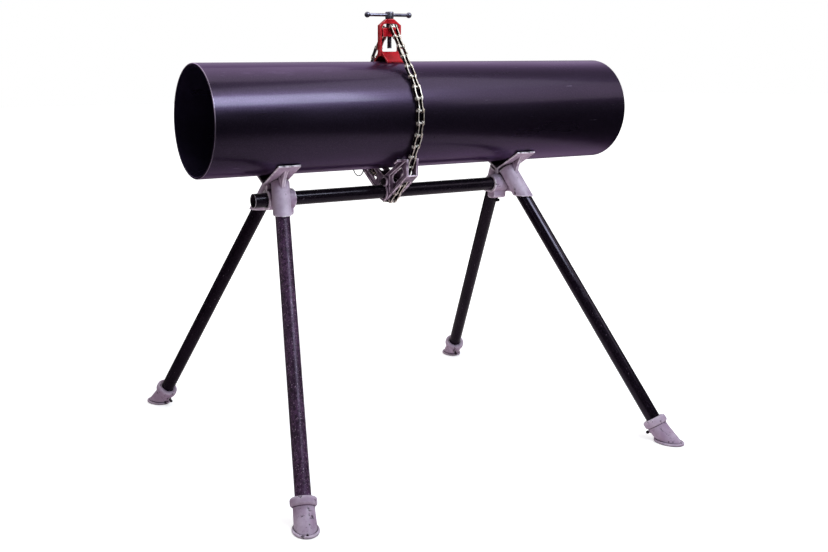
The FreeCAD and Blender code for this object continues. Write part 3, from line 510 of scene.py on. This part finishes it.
# painted shade: the front right leg gets a darker copy of the black leg finish
legBlackShaded = pipeCoat("legBlackShaded", {
    **legLook, "rough": 0.13, "specular": 0.34, "colour": (0.005, 0.003, 0.006)})
# painted light, with scale flecks: the front left leg gets a much paler purple copy of the leg finish
legScaleLit = pipeCoat("legScaleLit", {
    **legLook,
    "colour": (0.092, 0.041, 0.096), "shade": (0.03, 0.013, 0.032), "rough": 0.3,
    "tint": (0.95, 0.72, 1.0), "specular": 0.25, "fleck": (0.01, 0.005, 0.011), "fleckScale": 120,
    "fleckShare": 0.95, "fleckDepth": 0.3, "rub": (0.55, 0.38, 0.53), "rubScale": 300,
    "rubShare": 0.75, "rubFrom": 0.58, "dingScale": 70, "ding": (0.008, 0.004, 0.009),
    "lineDepth": 0.12})

# bare and worn steel

barWear = {"stain": (0.4, 0.68), "dirtAndShade": (0.44, 0.495), "roughScale": 2, "roughSpread": (0.06, 0.14),
           "pitScale": 900, "pitShare": 0.8, "scratchHigh": 0.0003, "pitHigh": 0.0002}


def barSteel(name, look):
    # bare or oiled steel: long fine scratches, stains, small pits, and hollows darkened, partly dirt and partly
    # painted shade
    make = Maker(name, look["rough"], metallic=1.0)
    stain = make.ramp(make.noise(look["stainScale"], detail=5, rough=0.6), *barWear["stain"])
    colour = make.blend(stain, look["colour"], look["stain"])
    # painted shade, with some dirt: hollows such as thread roots, found by pointiness, go dark
    dirtAndShade = make.ramp(make.edges(), *barWear["dirtAndShade"], look["dirtAndShadeDepth"], 0.0)
    make.colour(make.blend(dirtAndShade, colour, look["dirtAndShade"]))
    scratch = make.noise(look["scratchScale"], rough=0.6, stretch=look["scratchStretch"])
    gloss = make.noise(look["stainScale"] * barWear["roughScale"], detail=4)
    make.roughness(gloss, look["rough"], barWear["roughSpread"])
    pits = make.noise(barWear["pitScale"], detail=2)
    make.bump((scratch, look["grain"], barWear["scratchHigh"]),
              (pits, look["grain"] * barWear["pitShare"], barWear["pitHigh"]))
    return make.material


screwLook = {
    "colour": (0.34, 0.31, 0.38), "stain": (0.2, 0.17, 0.22), "dirtAndShade": (0.03, 0.025, 0.03),
    "dirtAndShadeDepth": 0.85, "rough": 0.32, "stainScale": 120, "scratchScale": 800,
    "scratchStretch": (1, 1, 0.1), "grain": 0.2}
screwSteel = barSteel("screwSteel", screwLook)
threadSteel = barSteel("threadSteel", {
    **screwLook, "colour": (0.12, 0.1, 0.13), "stain": (0.05, 0.04, 0.05), "dirtAndShade": (0.01, 0.008, 0.01),
    "dirtAndShadeDepth": 0.9, "rough": 0.34, "grain": 0.25})
handleSteel = barSteel("handleSteel", {
    **screwLook, "colour": (0.24, 0.22, 0.29), "stain": (0.16, 0.15, 0.2), "dirtAndShadeDepth": 0.1,
    "rough": 0.33, "stainScale": 40, "scratchScale": 700, "scratchStretch": (0.08, 1, 1),
    "grain": 0.02})
lockBlack = barSteel("lockBlack", {
    "colour": (0.035, 0.03, 0.037), "stain": (0.08, 0.06, 0.07), "dirtAndShade": (0.008, 0.008, 0.008),
    "dirtAndShadeDepth": 0.7, "rough": 0.42, "stainScale": 160, "scratchScale": 900,
    "scratchStretch": (1, 1, 0.2), "grain": 0.25})

plateWearAndLight = {"patchScale": 110, "patch": (0.46, 0.66), "wornAndLit": (0.25, 0.75), "scuffScale": 260,
             "scuff": (0.6, 0.72), "scuffShare": 0.5, "roughScale": 150, "roughSpread": (0.06, 0.14),
             "scratchScale": 700, "scratchStretch": (1, 1, 0.12), "scratchBump": (0.25, 0.0003),
             "pitScale": 1100, "pitBump": (0.2, 0.0002)}


def wornAndLitSteel(name, look):
    # blackened plates, their dark faces partly painted shade, whose rims are painted bright, partly rubbed wear
    # and partly a painted highlight; the rim attribute says how near the rim a point is
    make = Maker(name, look["rough"], metallic=look["metallic"])
    patch = make.ramp(make.noise(plateWearAndLight["patchScale"], detail=5, rough=0.6), *plateWearAndLight["patch"])
    bright = make.blend(patch, look["rim"], look["stain"])
    wornAndLit = make.ramp(make.attribute("rim"), *plateWearAndLight["wornAndLit"])
    scuff = make.noise(plateWearAndLight["scuffScale"], detail=6, rough=0.7)
    scuff = make.ramp(scuff, *plateWearAndLight["scuff"], 0.0, plateWearAndLight["scuffShare"])
    make.colour(make.blend(wornAndLit, make.blend(scuff, look["face"], look["stain"]), bright))
    gloss = make.noise(plateWearAndLight["roughScale"], detail=4)
    make.roughness(gloss, look["rough"], plateWearAndLight["roughSpread"])
    scratch = make.noise(plateWearAndLight["scratchScale"], rough=0.6, stretch=plateWearAndLight["scratchStretch"])
    pits = make.noise(plateWearAndLight["pitScale"], detail=2)
    make.bump((scratch, *plateWearAndLight["scratchBump"]), (pits, *plateWearAndLight["pitBump"]))
    return make.material


chainSteel = wornAndLitSteel("chainSteel", {
    "metallic": 0.7, "rough": 0.34, "face": (0.014, 0.008, 0.012), "rim": (0.95, 0.88, 0.8),
    "stain": (0.42, 0.3, 0.2)})
pinSteelLit = wornAndLitSteel("pinSteelLit", {
    "metallic": 0.45, "rough": 0.36, "face": (0.05, 0.04, 0.05), "rim": (0.97, 0.92, 0.86),
    "stain": (0.72, 0.56, 0.42)})
print("materials made")

# gripped pipe, beam and legs

tubes = {"work": (0.0015, 256), "stand": (0.0007, 72)}  # bevel and points around
# the legs get lit and shaded copies of one finish, as painted light and shade
legMaterials = {"front_left": legScaleLit, "front_right": legBlackShaded, "rear_left": legDark, "rear_right": legDark}


def levelTube(name, node, bore, bevel, around):
    # a tube along X that fills the node's box
    low, high = boxOf(node)
    outer = (high[2] - low[2]) / 2
    start = [low[0], 0.0, (low[2] + high[2]) / 2]
    return tubePiece(name, outer, bore, start, xAxis, high[0] - low[0], bevel, around)


workBore = mounts["workpiece_bore"]["dims"]["r_mm"] / 1000
standBore = mounts["beam_bore"]["dims"]["r_mm"] / 1000
beamLow, beamHigh = boxOf("beam_tube")
standOuter = (beamHigh[2] - beamLow[2]) / 2
dress(levelTube("grippedPipe", "workpiece_pipe", workBore, *tubes["work"]), workCoat, "work_coat",
      "workpiece", "workpiece_pipe")
dress(levelTube("beamPipe", "beam_tube", standBore, *tubes["stand"]), beamBlack, "stand_pipe", "beam",
      "beam_tube")

for legName, finish in legMaterials.items():
    node = "leg_tube_" + legName
    down = unit(joints["leg_" + legName + "_slide"]["axis"])
    low, high = boxOf(node)
    # a tilted tube's box is its length times the slope, plus the ends' own discs
    length = (high[2] - low[2] - 2 * standOuter * math.hypot(down[0], down[1])) / abs(down[2])
    start = (low + high) / 2 - down * length / 2
    legPipe = tubePiece("legPipe_" + legName, standOuter, standBore, start, down, length, *tubes["stand"])
    dress(legPipe, finish, "stand_pipe", "leg_" + legName, node)
print("pipes made")

# castings

castings = {"head": (0.0016, 7), "foot": (0.0013, 6), "bracket": (0.0011, 5), "yoke": (0.0009, 8),
            "block": (0.0009, 6)}  # voxel size and rounds of relaxing


def castPiece(name, node, kind, material, slotName, body):
    dress(castCopy(name, node, *castings[kind]), material, slotName, body, node)


for end in ("left", "right"):
    castPiece("headCasting_" + end, "saddle_head_" + end, "head", castGrey, "head_casting", "head_" + end)
for legName in legMaterials:
    castPiece("footCasting_" + legName, "foot_" + legName, "foot", footGrey, "head_casting",
              "leg_" + legName)
castPiece("bracketCasting", "vise_bracket", "bracket", bracketGrey, "bracket_casting", "vise")
castPiece("yokeCasting", "yoke_frame", "yoke", yokeRed, "yoke_red", "vise")
castPiece("blockCasting", "chain_block", "block", yokeRed, "yoke_red", "block")
print("castings made")

# chain

chain = {"plateHalf": 0.00725, "plate": 0.003, "rim": 0.0006, "rimSteps": 4, "face": 0.8, "waist": 0.14,
         "arc": 9, "side": 5, "pin": 0.003, "head": 0.0042, "headHigh": 0.001, "headSteps": 5, "around": 20,
         "sharp": 50}


def islandCentres(*names):
    # middles of the separate solids of some nodes
    centres = []
    for name in names:
        work = weldedCopy(nodes[name].data)
        left = set(work.verts)
        while left:
            edge = [left.pop()]
            found = list(edge)
            while edge:
                near = {e.other_vert(v) for v in edge for e in v.link_edges} & left
                left -= near
                edge = list(near)
                found += edge
            spots = np.array([v.co for v in found])
            centres.append((spots.min(0) + spots.max(0)) / 2)
        work.free()
    return np.array(centres)


pins = islandCentres("chain_end_pins", "chain_mid_pins", "chain_pins")
# from the front hook down the front, under the beam and up the rear
pins = pins[np.argsort(np.arctan2(-pins[:, 1], pins[:, 2] - workMiddle) % (2 * math.pi))]
outerLow, outerHigh = boxOf("chain_outer_plates")
innerLow, innerHigh = boxOf("chain_inner_plates")
pinLow, pinHigh = boxOf("chain_pins")
chainX = (outerLow[0] + outerHigh[0]) / 2
outerFace = (outerHigh[0] - outerLow[0]) / 2 - chain["plate"]
innerFace = (innerHigh[0] - innerLow[0]) / 2 - chain["plate"]


def plateGrid(first, second, face, side):
    # rings at growing distance round the line between two pins, drawn in at the middle, over a rounded rim
    # and back on the other face
    d = unit(second - first)
    n = np.cross(xAxis, d)
    half, rim, thick = chain["plateHalf"], chain["rim"], chain["plate"]
    endTurn = np.linspace(math.pi / 2, 3 * math.pi / 2, chain["arc"])
    share = np.linspace(0, 1, chain["side"] + 2)[1:-1]
    draw = 1 - chain["waist"] * np.sin(math.pi * share)
    zero = np.zeros_like(share)
    along = np.concatenate([0 * endTurn, share, 0 * endTurn + 1, share[::-1]])
    ringD = np.concatenate([np.cos(endTurn), zero, -np.cos(endTurn), zero])
    ringN = np.concatenate([np.sin(endTurn), -draw, -np.sin(endTurn), draw])
    middle = first + along[:, None] * (second - first)
    rounded = np.linspace(0, math.pi / 2, chain["rimSteps"])
    inside = half * chain["face"]
    reach = np.concatenate([[0, inside], half - rim + rim * np.sin(rounded),
                            half - rim + rim * np.cos(rounded), [inside, 0]])
    deep = np.concatenate([[0, 0], rim - rim * np.cos(rounded), thick - rim + rim * np.sin(rounded),
                           [thick, thick]])
    flat = ringD[:, None] * d + ringN[:, None] * n
    points = middle[None] + reach[:, None, None] * flat[None]
    points[..., 0] = chainX + side * (face + deep[:, None])
    return points.reshape(-1, 3), gridQuads(len(reach), len(along))


def plateRims(count):
    # full wear and painted highlight on the rounded rim, none on the two rings inside it on each face
    wornAndLit = np.concatenate([np.zeros(2), np.ones(2 * chain["rimSteps"]), np.zeros(2)])
    ring = 2 * (chain["arc"] + chain["side"])
    return np.tile(np.repeat(wornAndLit, ring), count)


def pinGrid(centre):
    # a straight pin whose two ends are peened over into low domes
    neck = (pinHigh[0] - pinLow[0]) / 2 - chain["headHigh"]
    dome = np.linspace(0, math.pi / 2, chain["headSteps"])
    top = [(chain["head"] * math.cos(t), neck + chain["headHigh"] * math.sin(t)) for t in dome]
    bottom = [(r, -z) for r, z in reversed(top)]
    profile = bottom + [(chain["pin"], -neck), (chain["pin"], 0.0), (chain["pin"], neck)] + top
    return revolve(profile, [chainX, centre[1], centre[2]], xAxis, chain["around"])


def linkPlates(link):
    # even links have the outer plates, odd ones the inner plates
    face = outerFace if link % 2 == 0 else innerFace
    first, second = pins[link:link + 2] * [0, 1, 1]
    return [plateGrid(first, second, face, side) for side in (-1, 1)]


def chainPiece(name, links, body, replaced):
    grids = [grid for link in links for grid in linkPlates(link)]
    plates = gridPiece(name, grids, chain["sharp"], plateRims(len(grids)))
    dress(plates, chainSteel, "chain_steel", body, replaced)


def pinPiece(name, numbers, body, replaced):
    grids = [pinGrid(pins[k]) for k in numbers]
    # painted highlight, with bare steel: every point of a pin counts as rim, so the whole pin is painted bright
    rims = np.ones(sum(len(points) for points, quads in grids))
    dress(gridPiece(name, grids, chain["sharp"], rims), pinSteelLit, "chain_steel", body, replaced)


endCount = len(islandCentres("chain_end_pins"))
fixedFrom = endCount + len(islandCentres("chain_mid_pins"))
linkCount = len(pins) - 1
fixedLinks = range(fixedFrom, linkCount)
chainPiece("outerLinks", [k for k in fixedLinks if k % 2 == 0], "vise", "chain_outer_plates")
chainPiece("innerLinks", [k for k in fixedLinks if k % 2 == 1], "vise", "chain_inner_plates")
pinPiece("linkPins", range(fixedFrom, linkCount + 1), "vise", "chain_pins")
chainPiece("endLinks", range(endCount), "chain_end", "chain_end_plates")
pinPiece("endPins", range(endCount), "chain_end", "chain_end_pins")
chainPiece("midLinks", range(endCount, fixedFrom), "chain_mid", "chain_mid_plates")
pinPiece("midPins", range(endCount, fixedFrom), "chain_mid", "chain_mid_pins")
print("chain made:", linkCount, "links")

# screw, collar and handle

# a thread: pitch, depth, taper at its ends, points around, rows in a pitch
screw = {"thread": (0.003, 0.0011, 0.003, 64, 12), "crest": 1.5, "sink": 0.0005, "hubRound": 0.0025,
         "hubHigh": 0.022, "hubClear": 0.001, "hubAround": 64, "holeFit": 0.00005, "sharp": 60}
handle = {"rim": 0.0008, "ballFlat": 0.97, "ballSteps": 25, "ballAround": 40}


def threadGrid(start, axis, length, radius, pitch, depth, taper, around, perPitch):
    # radius = full - depth * a wave of (along / pitch - turn) with its tops and feet cut flat, the thread
    # dying out at both ends
    rows = int(length / pitch * perPitch)
    along = np.linspace(0, length, rows)[:, None]
    turn = fullTurn(around)
    wave = 0.5 - 0.5 * screw["crest"] * np.cos(2 * math.pi * along / pitch - turn)
    fade = np.clip(np.minimum(along, length - along) / taper, 0, 1)
    size = radius - depth * np.clip(wave, 0, 1) * fade
    size[0], size[-1] = 0.0, 0.0
    along[1], along[-2] = along[0], along[-1]
    return ringPoints(start, axis, along, size, turn), gridQuads(rows, around)


def roundedRod(radius, length, rim, steps=5):
    # profile of a solid rod with quarter-round rims, from pole to pole
    turn = np.linspace(0, math.pi / 2, steps)
    low = [(radius - rim + rim * math.sin(t), rim - rim * math.cos(t)) for t in turn]
    high = [(r, length - z) for r, z in reversed(low)]
    return [(0.0, 0.0)] + low + high + [(0.0, length)]


def drill(piece, radius, start, length, sharp=35):
    # a round hole along X, cut out of a piece
    profile = [(0, 0), (radius, 0), (radius, length), (0, length)]
    bit = gridPiece("drill", [revolve(profile, start, xAxis)])
    cut = piece.modifiers.new("hole", "BOOLEAN")
    cut.operation = "DIFFERENCE"
    cut.solver = "EXACT"
    cut.object = bit
    applyModifiers(piece)
    bpy.data.objects.remove(bit)
    cleanMesh(piece.data, sharp)


screwLow, screwHigh = boxOf("yoke_screw")
barLow, barHigh = boxOf("handle_bar")
screwX = (screwLow[0] + screwHigh[0]) / 2
hubRadius = (screwHigh[0] - screwLow[0]) / 2
hubFrom = screwHigh[2] - screw["hubHigh"]
# the stem's radius is read from the corners below the hub
stemCorners = cornersOf("yoke_screw") - [screwX, 0, 0]
stemCorners = stemCorners[stemCorners[:, 2] < hubFrom - screw["hubClear"]]
stemRadius = np.hypot(stemCorners[:, 0], stemCorners[:, 1]).max()
barRadius = (barHigh[2] - barLow[2]) / 2
barZ = (barLow[2] + barHigh[2]) / 2

hubProfile = roundedRod(hubRadius, screw["hubHigh"], screw["hubRound"])
hub = gridPiece("screwHub", [revolve(hubProfile, [screwX, 0, hubFrom], zAxis, screw["hubAround"])])
drill(hub, barRadius + screw["holeFit"], [screwX - hubRadius * 2, 0, barZ], hubRadius * 4)
dress(hub, screwSteel, "screw_steel", "screw")
stemGrid = threadGrid([screwX, 0, screwLow[2]], zAxis, hubFrom - screwLow[2] + screw["sink"], stemRadius,
                      *screw["thread"])
dress(gridPiece("screwStem", [stemGrid], screw["sharp"]), threadSteel, "screw_steel", "screw", "yoke_screw")

for name in ("retaining_collar", "collar_pin"):
    nodes[name].data.materials.clear()
    nodes[name].data.materials.append(threadSteel)

barProfile = roundedRod(barRadius, barHigh[0] - barLow[0], handle["rim"])
dress(gridPiece("handleBar", [revolve(barProfile, [barLow[0], 0, barZ], xAxis)]), handleSteel,
      "handle_steel", "handle", "handle_bar")
for side in ("left", "right"):
    low, high = boxOf("handle_ball_" + side)
    radius = (high[2] - low[2]) / 2
    # a ball turned on a lathe, with a small flat at each pole
    turn = np.linspace(0, math.pi, handle["ballSteps"])[2:-2]
    profile = [(0.0, -radius * handle["ballFlat"])]
    profile += [(radius * math.sin(t), -radius * math.cos(t)) for t in turn]
    profile += [(0.0, radius * handle["ballFlat"])]
    grid = revolve(profile, (low + high) / 2, xAxis, handle["ballAround"])
    dress(gridPiece("handleBall_" + side, [grid]), handleSteel, "handle_steel", "handle",
          "handle_ball_" + side)
print("screw and handle made")

# bolts, set screws and thumb screws

fixings = {"shank": 0.005, "boltFlats": 0.018, "boltHead": 0.007, "lockFlats": 0.015, "lockHead": 0.009,
           "chamfer": 0.0012, "chamferTo": 0.97, "cornerTo": 0.985, "flatSteps": 12, "sink": 0.0005,
           "thread": (0.0015, 0.0006, 0.0015, 48, 8), "holeFit": 0.00005, "drillOut": 0.005,
           "drillLong": 0.02, "sharp": 30}
knob = {"radius": 0.005, "belly": 0.6, "steps": 17, "around": 84, "knurls": 14, "knurl": 0.05,
        "shank": 0.0035, "thread": (0.001, 0.0004, 0.001, 32, 8), "sharp": 50}


def flatsGrid(flats, sides, start, axis, height, seated=False):
    # radius = half the flats / cos(angle from the nearest flat), its corners cut back a little and its ends
    # chamfered to a circle; a seated head has no chamfer at its far end
    turn = fullTurn(sides * fixings["flatSteps"])
    step = 2 * math.pi / sides
    flatRing = flats / 2 / np.cos((turn + step / 2) % step - step / 2)
    flatRing = np.minimum(flatRing, flats / 2 * (1 / math.cos(step / 2)) * fixings["cornerTo"])
    small, uncut, chamfer = flats / 2 * fixings["chamferTo"], flats, fixings["chamfer"]
    along = np.array([0.0, 0.0, chamfer, height - chamfer, height, height])[:, None]
    limit = np.array([0.0, small, uncut, uncut, uncut if seated else small, 0.0])[:, None]
    points = ringPoints(start, axis, along, np.minimum(flatRing, limit), turn)
    return points, gridQuads(len(along), len(turn))


def shankGrid(start, axis, length):
    # a threaded shank, its first bit sunk into the head that it grows from
    start = np.asarray(start) - axis * fixings["sink"]
    return threadGrid(start, axis, length + fixings["sink"], fixings["shank"], *fixings["thread"])


boltLow, boltHigh = boxOf("bracket_bolt")
nutLow, nutHigh = boxOf("bracket_nut")
boltY, boltZ = (boltLow[1] + boltHigh[1]) / 2, (nutLow[2] + nutHigh[2]) / 2
shankFrom = boltLow[0] + fixings["boltHead"]
bolt = gridPiece("crossBolt", [
    flatsGrid(fixings["boltFlats"], 6, [boltLow[0], boltY, boltZ], xAxis, fixings["boltHead"], seated=True),
    shankGrid([shankFrom, boltY, boltZ], xAxis, boltHigh[0] - shankFrom)], fixings["sharp"])
dress(bolt, lockBlack, "lock_black", "vise", "bracket_bolt")
nut = gridPiece("crossNut", [flatsGrid(fixings["boltFlats"], 6, [nutLow[0], boltY, boltZ], xAxis,
                                       nutHigh[0] - nutLow[0])], fixings["sharp"])
drill(nut, fixings["shank"] + fixings["holeFit"], [nutLow[0] - fixings["drillOut"], boltY, boltZ],
      fixings["drillLong"])
dress(nut, lockBlack, "lock_black", "vise", "bracket_nut")

for end in ("left", "right"):
    low, high = boxOf("head_screw_" + end)
    x = (low[0] + high[0]) / 2
    shankFrom = low[2] + fixings["lockHead"]
    lock = gridPiece("beamLock_" + end, [
        flatsGrid(fixings["lockFlats"], 4, [x, 0, low[2]], zAxis, fixings["lockHead"]),
        shankGrid([x, 0, shankFrom], zAxis, high[2] - shankFrom)], fixings["sharp"])
    dress(lock, lockBlack, "lock_black", "beam_lock_" + end, "head_screw_" + end)


def knurlRipple(turn):
    # 1 on the knurls' tops, and less by the knurl between them
    return 1 + knob["knurl"] * (np.cos(knob["knurls"] * turn) - 1) / 2


# a knob's profile is a half circle made fuller: radius = knob * sin(turn) to the power of its belly
turn = np.linspace(0, math.pi, knob["steps"])[1:-1]
knobProfile = [(knob["radius"] * math.sin(t) ** knob["belly"], -knob["radius"] * math.cos(t)) for t in turn]
knobProfile = [(0.0, -knob["radius"])] + knobProfile + [(0.0, knob["radius"])]
for legName in legMaterials:
    lockJoint = joints["foot_lock_" + legName + "_turn"]
    out = unit(lockJoint["axis"])
    base = np.array(lockJoint["pos_m"])
    reach = (cornersOf("foot_screw_" + legName) - base) @ out
    tip = base + out * reach.min()
    middle = base + out * (reach.max() - knob["radius"])
    shankLong = reach.max() - knob["radius"] - reach.min()
    lock = gridPiece("footLock_" + legName, [
        revolve(knobProfile, middle, out, knob["around"], ripple=knurlRipple),
        threadGrid(tip, out, shankLong, knob["shank"], *knob["thread"])], knob["sharp"])
    dress(lock, lockBlack, "lock_black", "foot_lock_" + legName, "foot_screw_" + legName)
print("fixings made")

# keeper bail

bail = {"wire": 0.0016, "radius": 0.036, "steps": 33, "toe": 0.0093, "tip": 0.999, "toeRound": 0.002,
        "crossRound": 0.003, "around": 16, "sharp": 60}


def sweepGrid(path, radius, around):
    # rings square to a path; the side vector is carried along by parallel transport
    run = np.gradient(path, axis=0)
    run /= np.linalg.norm(run, axis=1)[:, None]
    side = np.zeros_like(path)
    side[0] = crossFrame(run[0])[0]
    for k in range(1, len(path)):
        side[k] = unit(side[k - 1] - run[k] * (side[k - 1] @ run[k]))
    other = np.cross(run, side)
    turn = fullTurn(around)[None, :, None]
    sizes = np.full((len(path), 1, 1), radius)
    sizes[0], sizes[-1] = 0.0, 0.0
    points = path[:, None] + sizes * (np.cos(turn) * side[:, None] + np.sin(turn) * other[:, None])
    return points.reshape(-1, 3), gridQuads(len(path), around)


def roundCorner(before, corner, after, radius, steps=8):
    # a quadratic curve past a corner, between the points a radius before and after it
    first = corner + unit(before - corner) * radius
    last = corner + unit(after - corner) * radius
    t = np.linspace(0, 1, steps)[:, None]
    return (1 - t) ** 2 * first + 2 * t * (1 - t) * corner + t * t * last


pivot = np.array(joints["bail_swing"]["pos_m"])
bailLow, bailHigh = boxOf("keeper_bail")
bailHalf = (bailHigh[0] - bailLow[0]) / 2 - bail["wire"]
turn = np.linspace(math.pi, 2 * math.pi, bail["steps"])
hoop = np.stack([0 * turn, bail["radius"] * (1 + np.cos(turn)), bail["radius"] * np.sin(turn)], 1)
leftHoop = pivot + hoop - xAxis * bailHalf
rightHoop = pivot + hoop[::-1] + xAxis * bailHalf
# in at the left toe, round the left hoop, across, round the right hoop and out at its toe; the ring next to
# each tip makes the wire's end flat
toeIn = xAxis * bail["toe"]
bailPath = np.vstack([
    leftHoop[0] + toeIn,
    leftHoop[0] + toeIn * bail["tip"],
    roundCorner(leftHoop[0] + toeIn, leftHoop[0], leftHoop[2], bail["toeRound"]),
    leftHoop[3:-2],
    roundCorner(leftHoop[-3], leftHoop[-1], rightHoop[0], bail["crossRound"]),
    roundCorner(leftHoop[-1], rightHoop[0], rightHoop[2], bail["crossRound"]),
    rightHoop[2:-3],
    roundCorner(rightHoop[-3], rightHoop[-1], rightHoop[-1] - toeIn, bail["toeRound"]),
    rightHoop[-1] - toeIn * bail["tip"],
    rightHoop[-1] - toeIn])
bailGrid = sweepGrid(bailPath, bail["wire"], bail["around"])
dress(gridPiece("keeperBail", [bailGrid], bail["sharp"]), beamBlack, "screw_steel", "bail", "keeper_bail")
print("bail made")

# floor

paper = {"half": 40.0, "drop": 0.0005, "rough": 0.6, "specular": 0.2, "colour": (0.82, 0.82, 0.82),
         "cloudColour": (0.8077, 0.8077, 0.8077), "cloudScale": 2, "cloud": (0.4, 0.6),
         "liftBand": (0.9, 2.2), "lift": (0.62, 1.0),
         "nearColour": (0.94, 0.82, 0.84), "farColour": (0.015, 0.013, 0.016), "glowPlace": (0.9, 0.3, 0.0),
         "dimBand": (0.6, 2.5), "edgeWay": (0.871, -0.492, 0.0), "edgeBand": (1.17, 1.41)}


def floorMaterial():
    # pale paper: towards the camera it is lifted to white with distance, and shadows stay; reflections see a
    # painted reflection instead, pinkish in its lit middle and darker away from it and past a slanting line
    make = Maker("floorPale", paper["rough"], specular=paper["specular"])
    cloud = make.ramp(make.noise(paper["cloudScale"]), *paper["cloud"])
    pale = make.blend(cloud, paper["colour"], paper["cloudColour"])
    reach = make.measure("LENGTH", make.place)
    lift = mapRange(make.tree, reach, *paper["liftBand"], *paper["lift"], smooth=True)
    light = make.tree.nodes.new("ShaderNodeLightPath")
    make.shader.inputs["Emission Color"].default_value = (1, 1, 1, 1)
    make.join(make.times(light.outputs["Is Camera Ray"], lift), make.shader.inputs["Emission Strength"])
    # the painted reflection's slanting line: dot(place, edgeWay) runs through a soft band
    across = make.measure("DOT_PRODUCT", make.place, paper["edgeWay"])
    pastReflectionEdge = mapRange(make.tree, across, *paper["edgeBand"], smooth=True)
    away = make.measure("DISTANCE", make.place, paper["glowPlace"])
    dim = make.calculate("MAXIMUM", pastReflectionEdge, make.ramp(away, *paper["dimBand"]))
    mirrored = make.blend(dim, paper["nearColour"], paper["farColour"])
    unseen = make.blend(light.outputs["Is Glossy Ray"], paper["nearColour"], mirrored)
    make.colour(make.blend(light.outputs["Is Camera Ray"], unseen, pale))
    return make.material


floorMesh = bpy.data.meshes.new("studioFloor")
sides = ((-1, -1), (1, -1), (1, 1), (-1, 1))
floorMesh.from_pydata([(x * paper["half"], y * paper["half"], -paper["drop"]) for x, y in sides], [],
                      [(0, 1, 2, 3)])
floorMesh.materials.append(floorMaterial())
floor = addObject("studioFloor", floorMesh)

# lamps

# each lamp: place, aim, size, watts, colour
lamps = {
    "keyCore": ((0.45, -2.11, 2.68), (-0.3, 0, 1.0), (1.5, 0.85), 49, (0.78, 0.93, 1.0)),
    "keyWide": ((1.1, -1.5, 3.3), (-0.3, 0, 1.0), (2.8, 1.5), 20, (0.95, 0.96, 1.0)),
    "topBox": ((-0.1, 0.6, 3.8), (0, 0, 0.8), (3.4, 2.4), 34, (1.0, 0.97, 1.0)),
    "rightBox": ((2.5, -1.9, 2.5), (0.3, 0, 1.0), (1.8, 1.3), 9, (1.0, 0.94, 1.0)),
    "leftBox": ((-3.0, -0.9, 2.0), (-0.5, 0, 0.8), (1.2, 1.4), 4, (0.92, 0.9, 1.0))}

for name, (place, aim, size, watts, colour) in lamps.items():
    light = bpy.data.lights.new(name, "AREA")
    light.shape = "RECTANGLE"
    light.size, light.size_y = size
    light.energy = watts
    light.color = colour
    turned = (Vector(aim) - Vector(place)).to_track_quat("-Z", "Y").to_matrix().to_4x4()
    addObject(name, light).matrix_world = Matrix.Translation(place) @ turned

# the studio's air: white to the camera; for light and reflections dim in front, bright behind and above

air = {"front": 0.02, "back": 0.9, "backBand": (-0.1, 0.55), "top": 0.32, "topBand": (0.45, 0.95),
       "low": 0.06, "lowBand": (0.0, 0.45)}
world = bpy.data.worlds.new("studioAir")
bpy.context.scene.world = world
world.use_nodes = True
tree = world.node_tree
tree.nodes.clear()


def mixLevel(share, first, second):
    node = tree.nodes.new("ShaderNodeMix")
    node.data_type = "FLOAT"
    tree.links.new(share, node.inputs[0])
    tree.links.new(first, node.inputs[2])
    node.inputs[3].default_value = second
    return node.outputs[0]


way = tree.nodes.new("ShaderNodeTexCoord")
split = tree.nodes.new("ShaderNodeSeparateXYZ")
tree.links.new(way.outputs["Generated"], split.inputs[0])
behind = mapRange(tree, split.outputs["Y"], *air["backBand"], air["front"], air["back"], smooth=True)
above = mapRange(tree, split.outputs["Z"], *air["topBand"], smooth=True)
low = mapRange(tree, split.outputs["Z"], *air["lowBand"], 1.0, 0.0, smooth=True)
seen = tree.nodes.new("ShaderNodeLightPath").outputs["Is Camera Ray"]
level = mixLevel(seen, mixLevel(low, mixLevel(above, behind, air["top"]), air["low"]), 1.0)
glow = tree.nodes.new("ShaderNodeBackground")
glow.inputs["Color"].default_value = (1, 1, 1, 1)
tree.links.new(level, glow.inputs["Strength"])
tree.links.new(glow.outputs[0], tree.nodes.new("ShaderNodeOutputWorld").inputs[0])

# camera

camera = {"place": (-1.69192, -2.56481, 1.09867), "yaw": 26.526, "down": 8.475, "roll": -0.801,
          "lens": 42.43, "sensor": 36.0, "shift": (0.143, -0.0632)}
yaw, down, roll = (math.radians(camera[key]) for key in ("yaw", "down", "roll"))
look = Vector((math.sin(yaw) * math.cos(down), math.cos(yaw) * math.cos(down), -math.sin(down)))
right = Vector((math.cos(yaw), -math.sin(yaw), 0.0))
up = right.cross(look)
right, up = right * math.cos(roll) + up * math.sin(roll), up * math.cos(roll) - right * math.sin(roll)
lens = bpy.data.cameras.new("viewCamera")
lens.sensor_fit = "HORIZONTAL"
lens.sensor_width = camera["sensor"]
lens.lens = camera["lens"]
lens.shift_x, lens.shift_y = camera["shift"]
eye = addObject("viewCamera", lens)
eye.matrix_world = Matrix.Translation(camera["place"]) @ Matrix((right, up, -look)).transposed().to_4x4()
bpy.context.scene.camera = eye
bpy.context.scene.view_settings.view_transform = "Standard"
print("studio made")
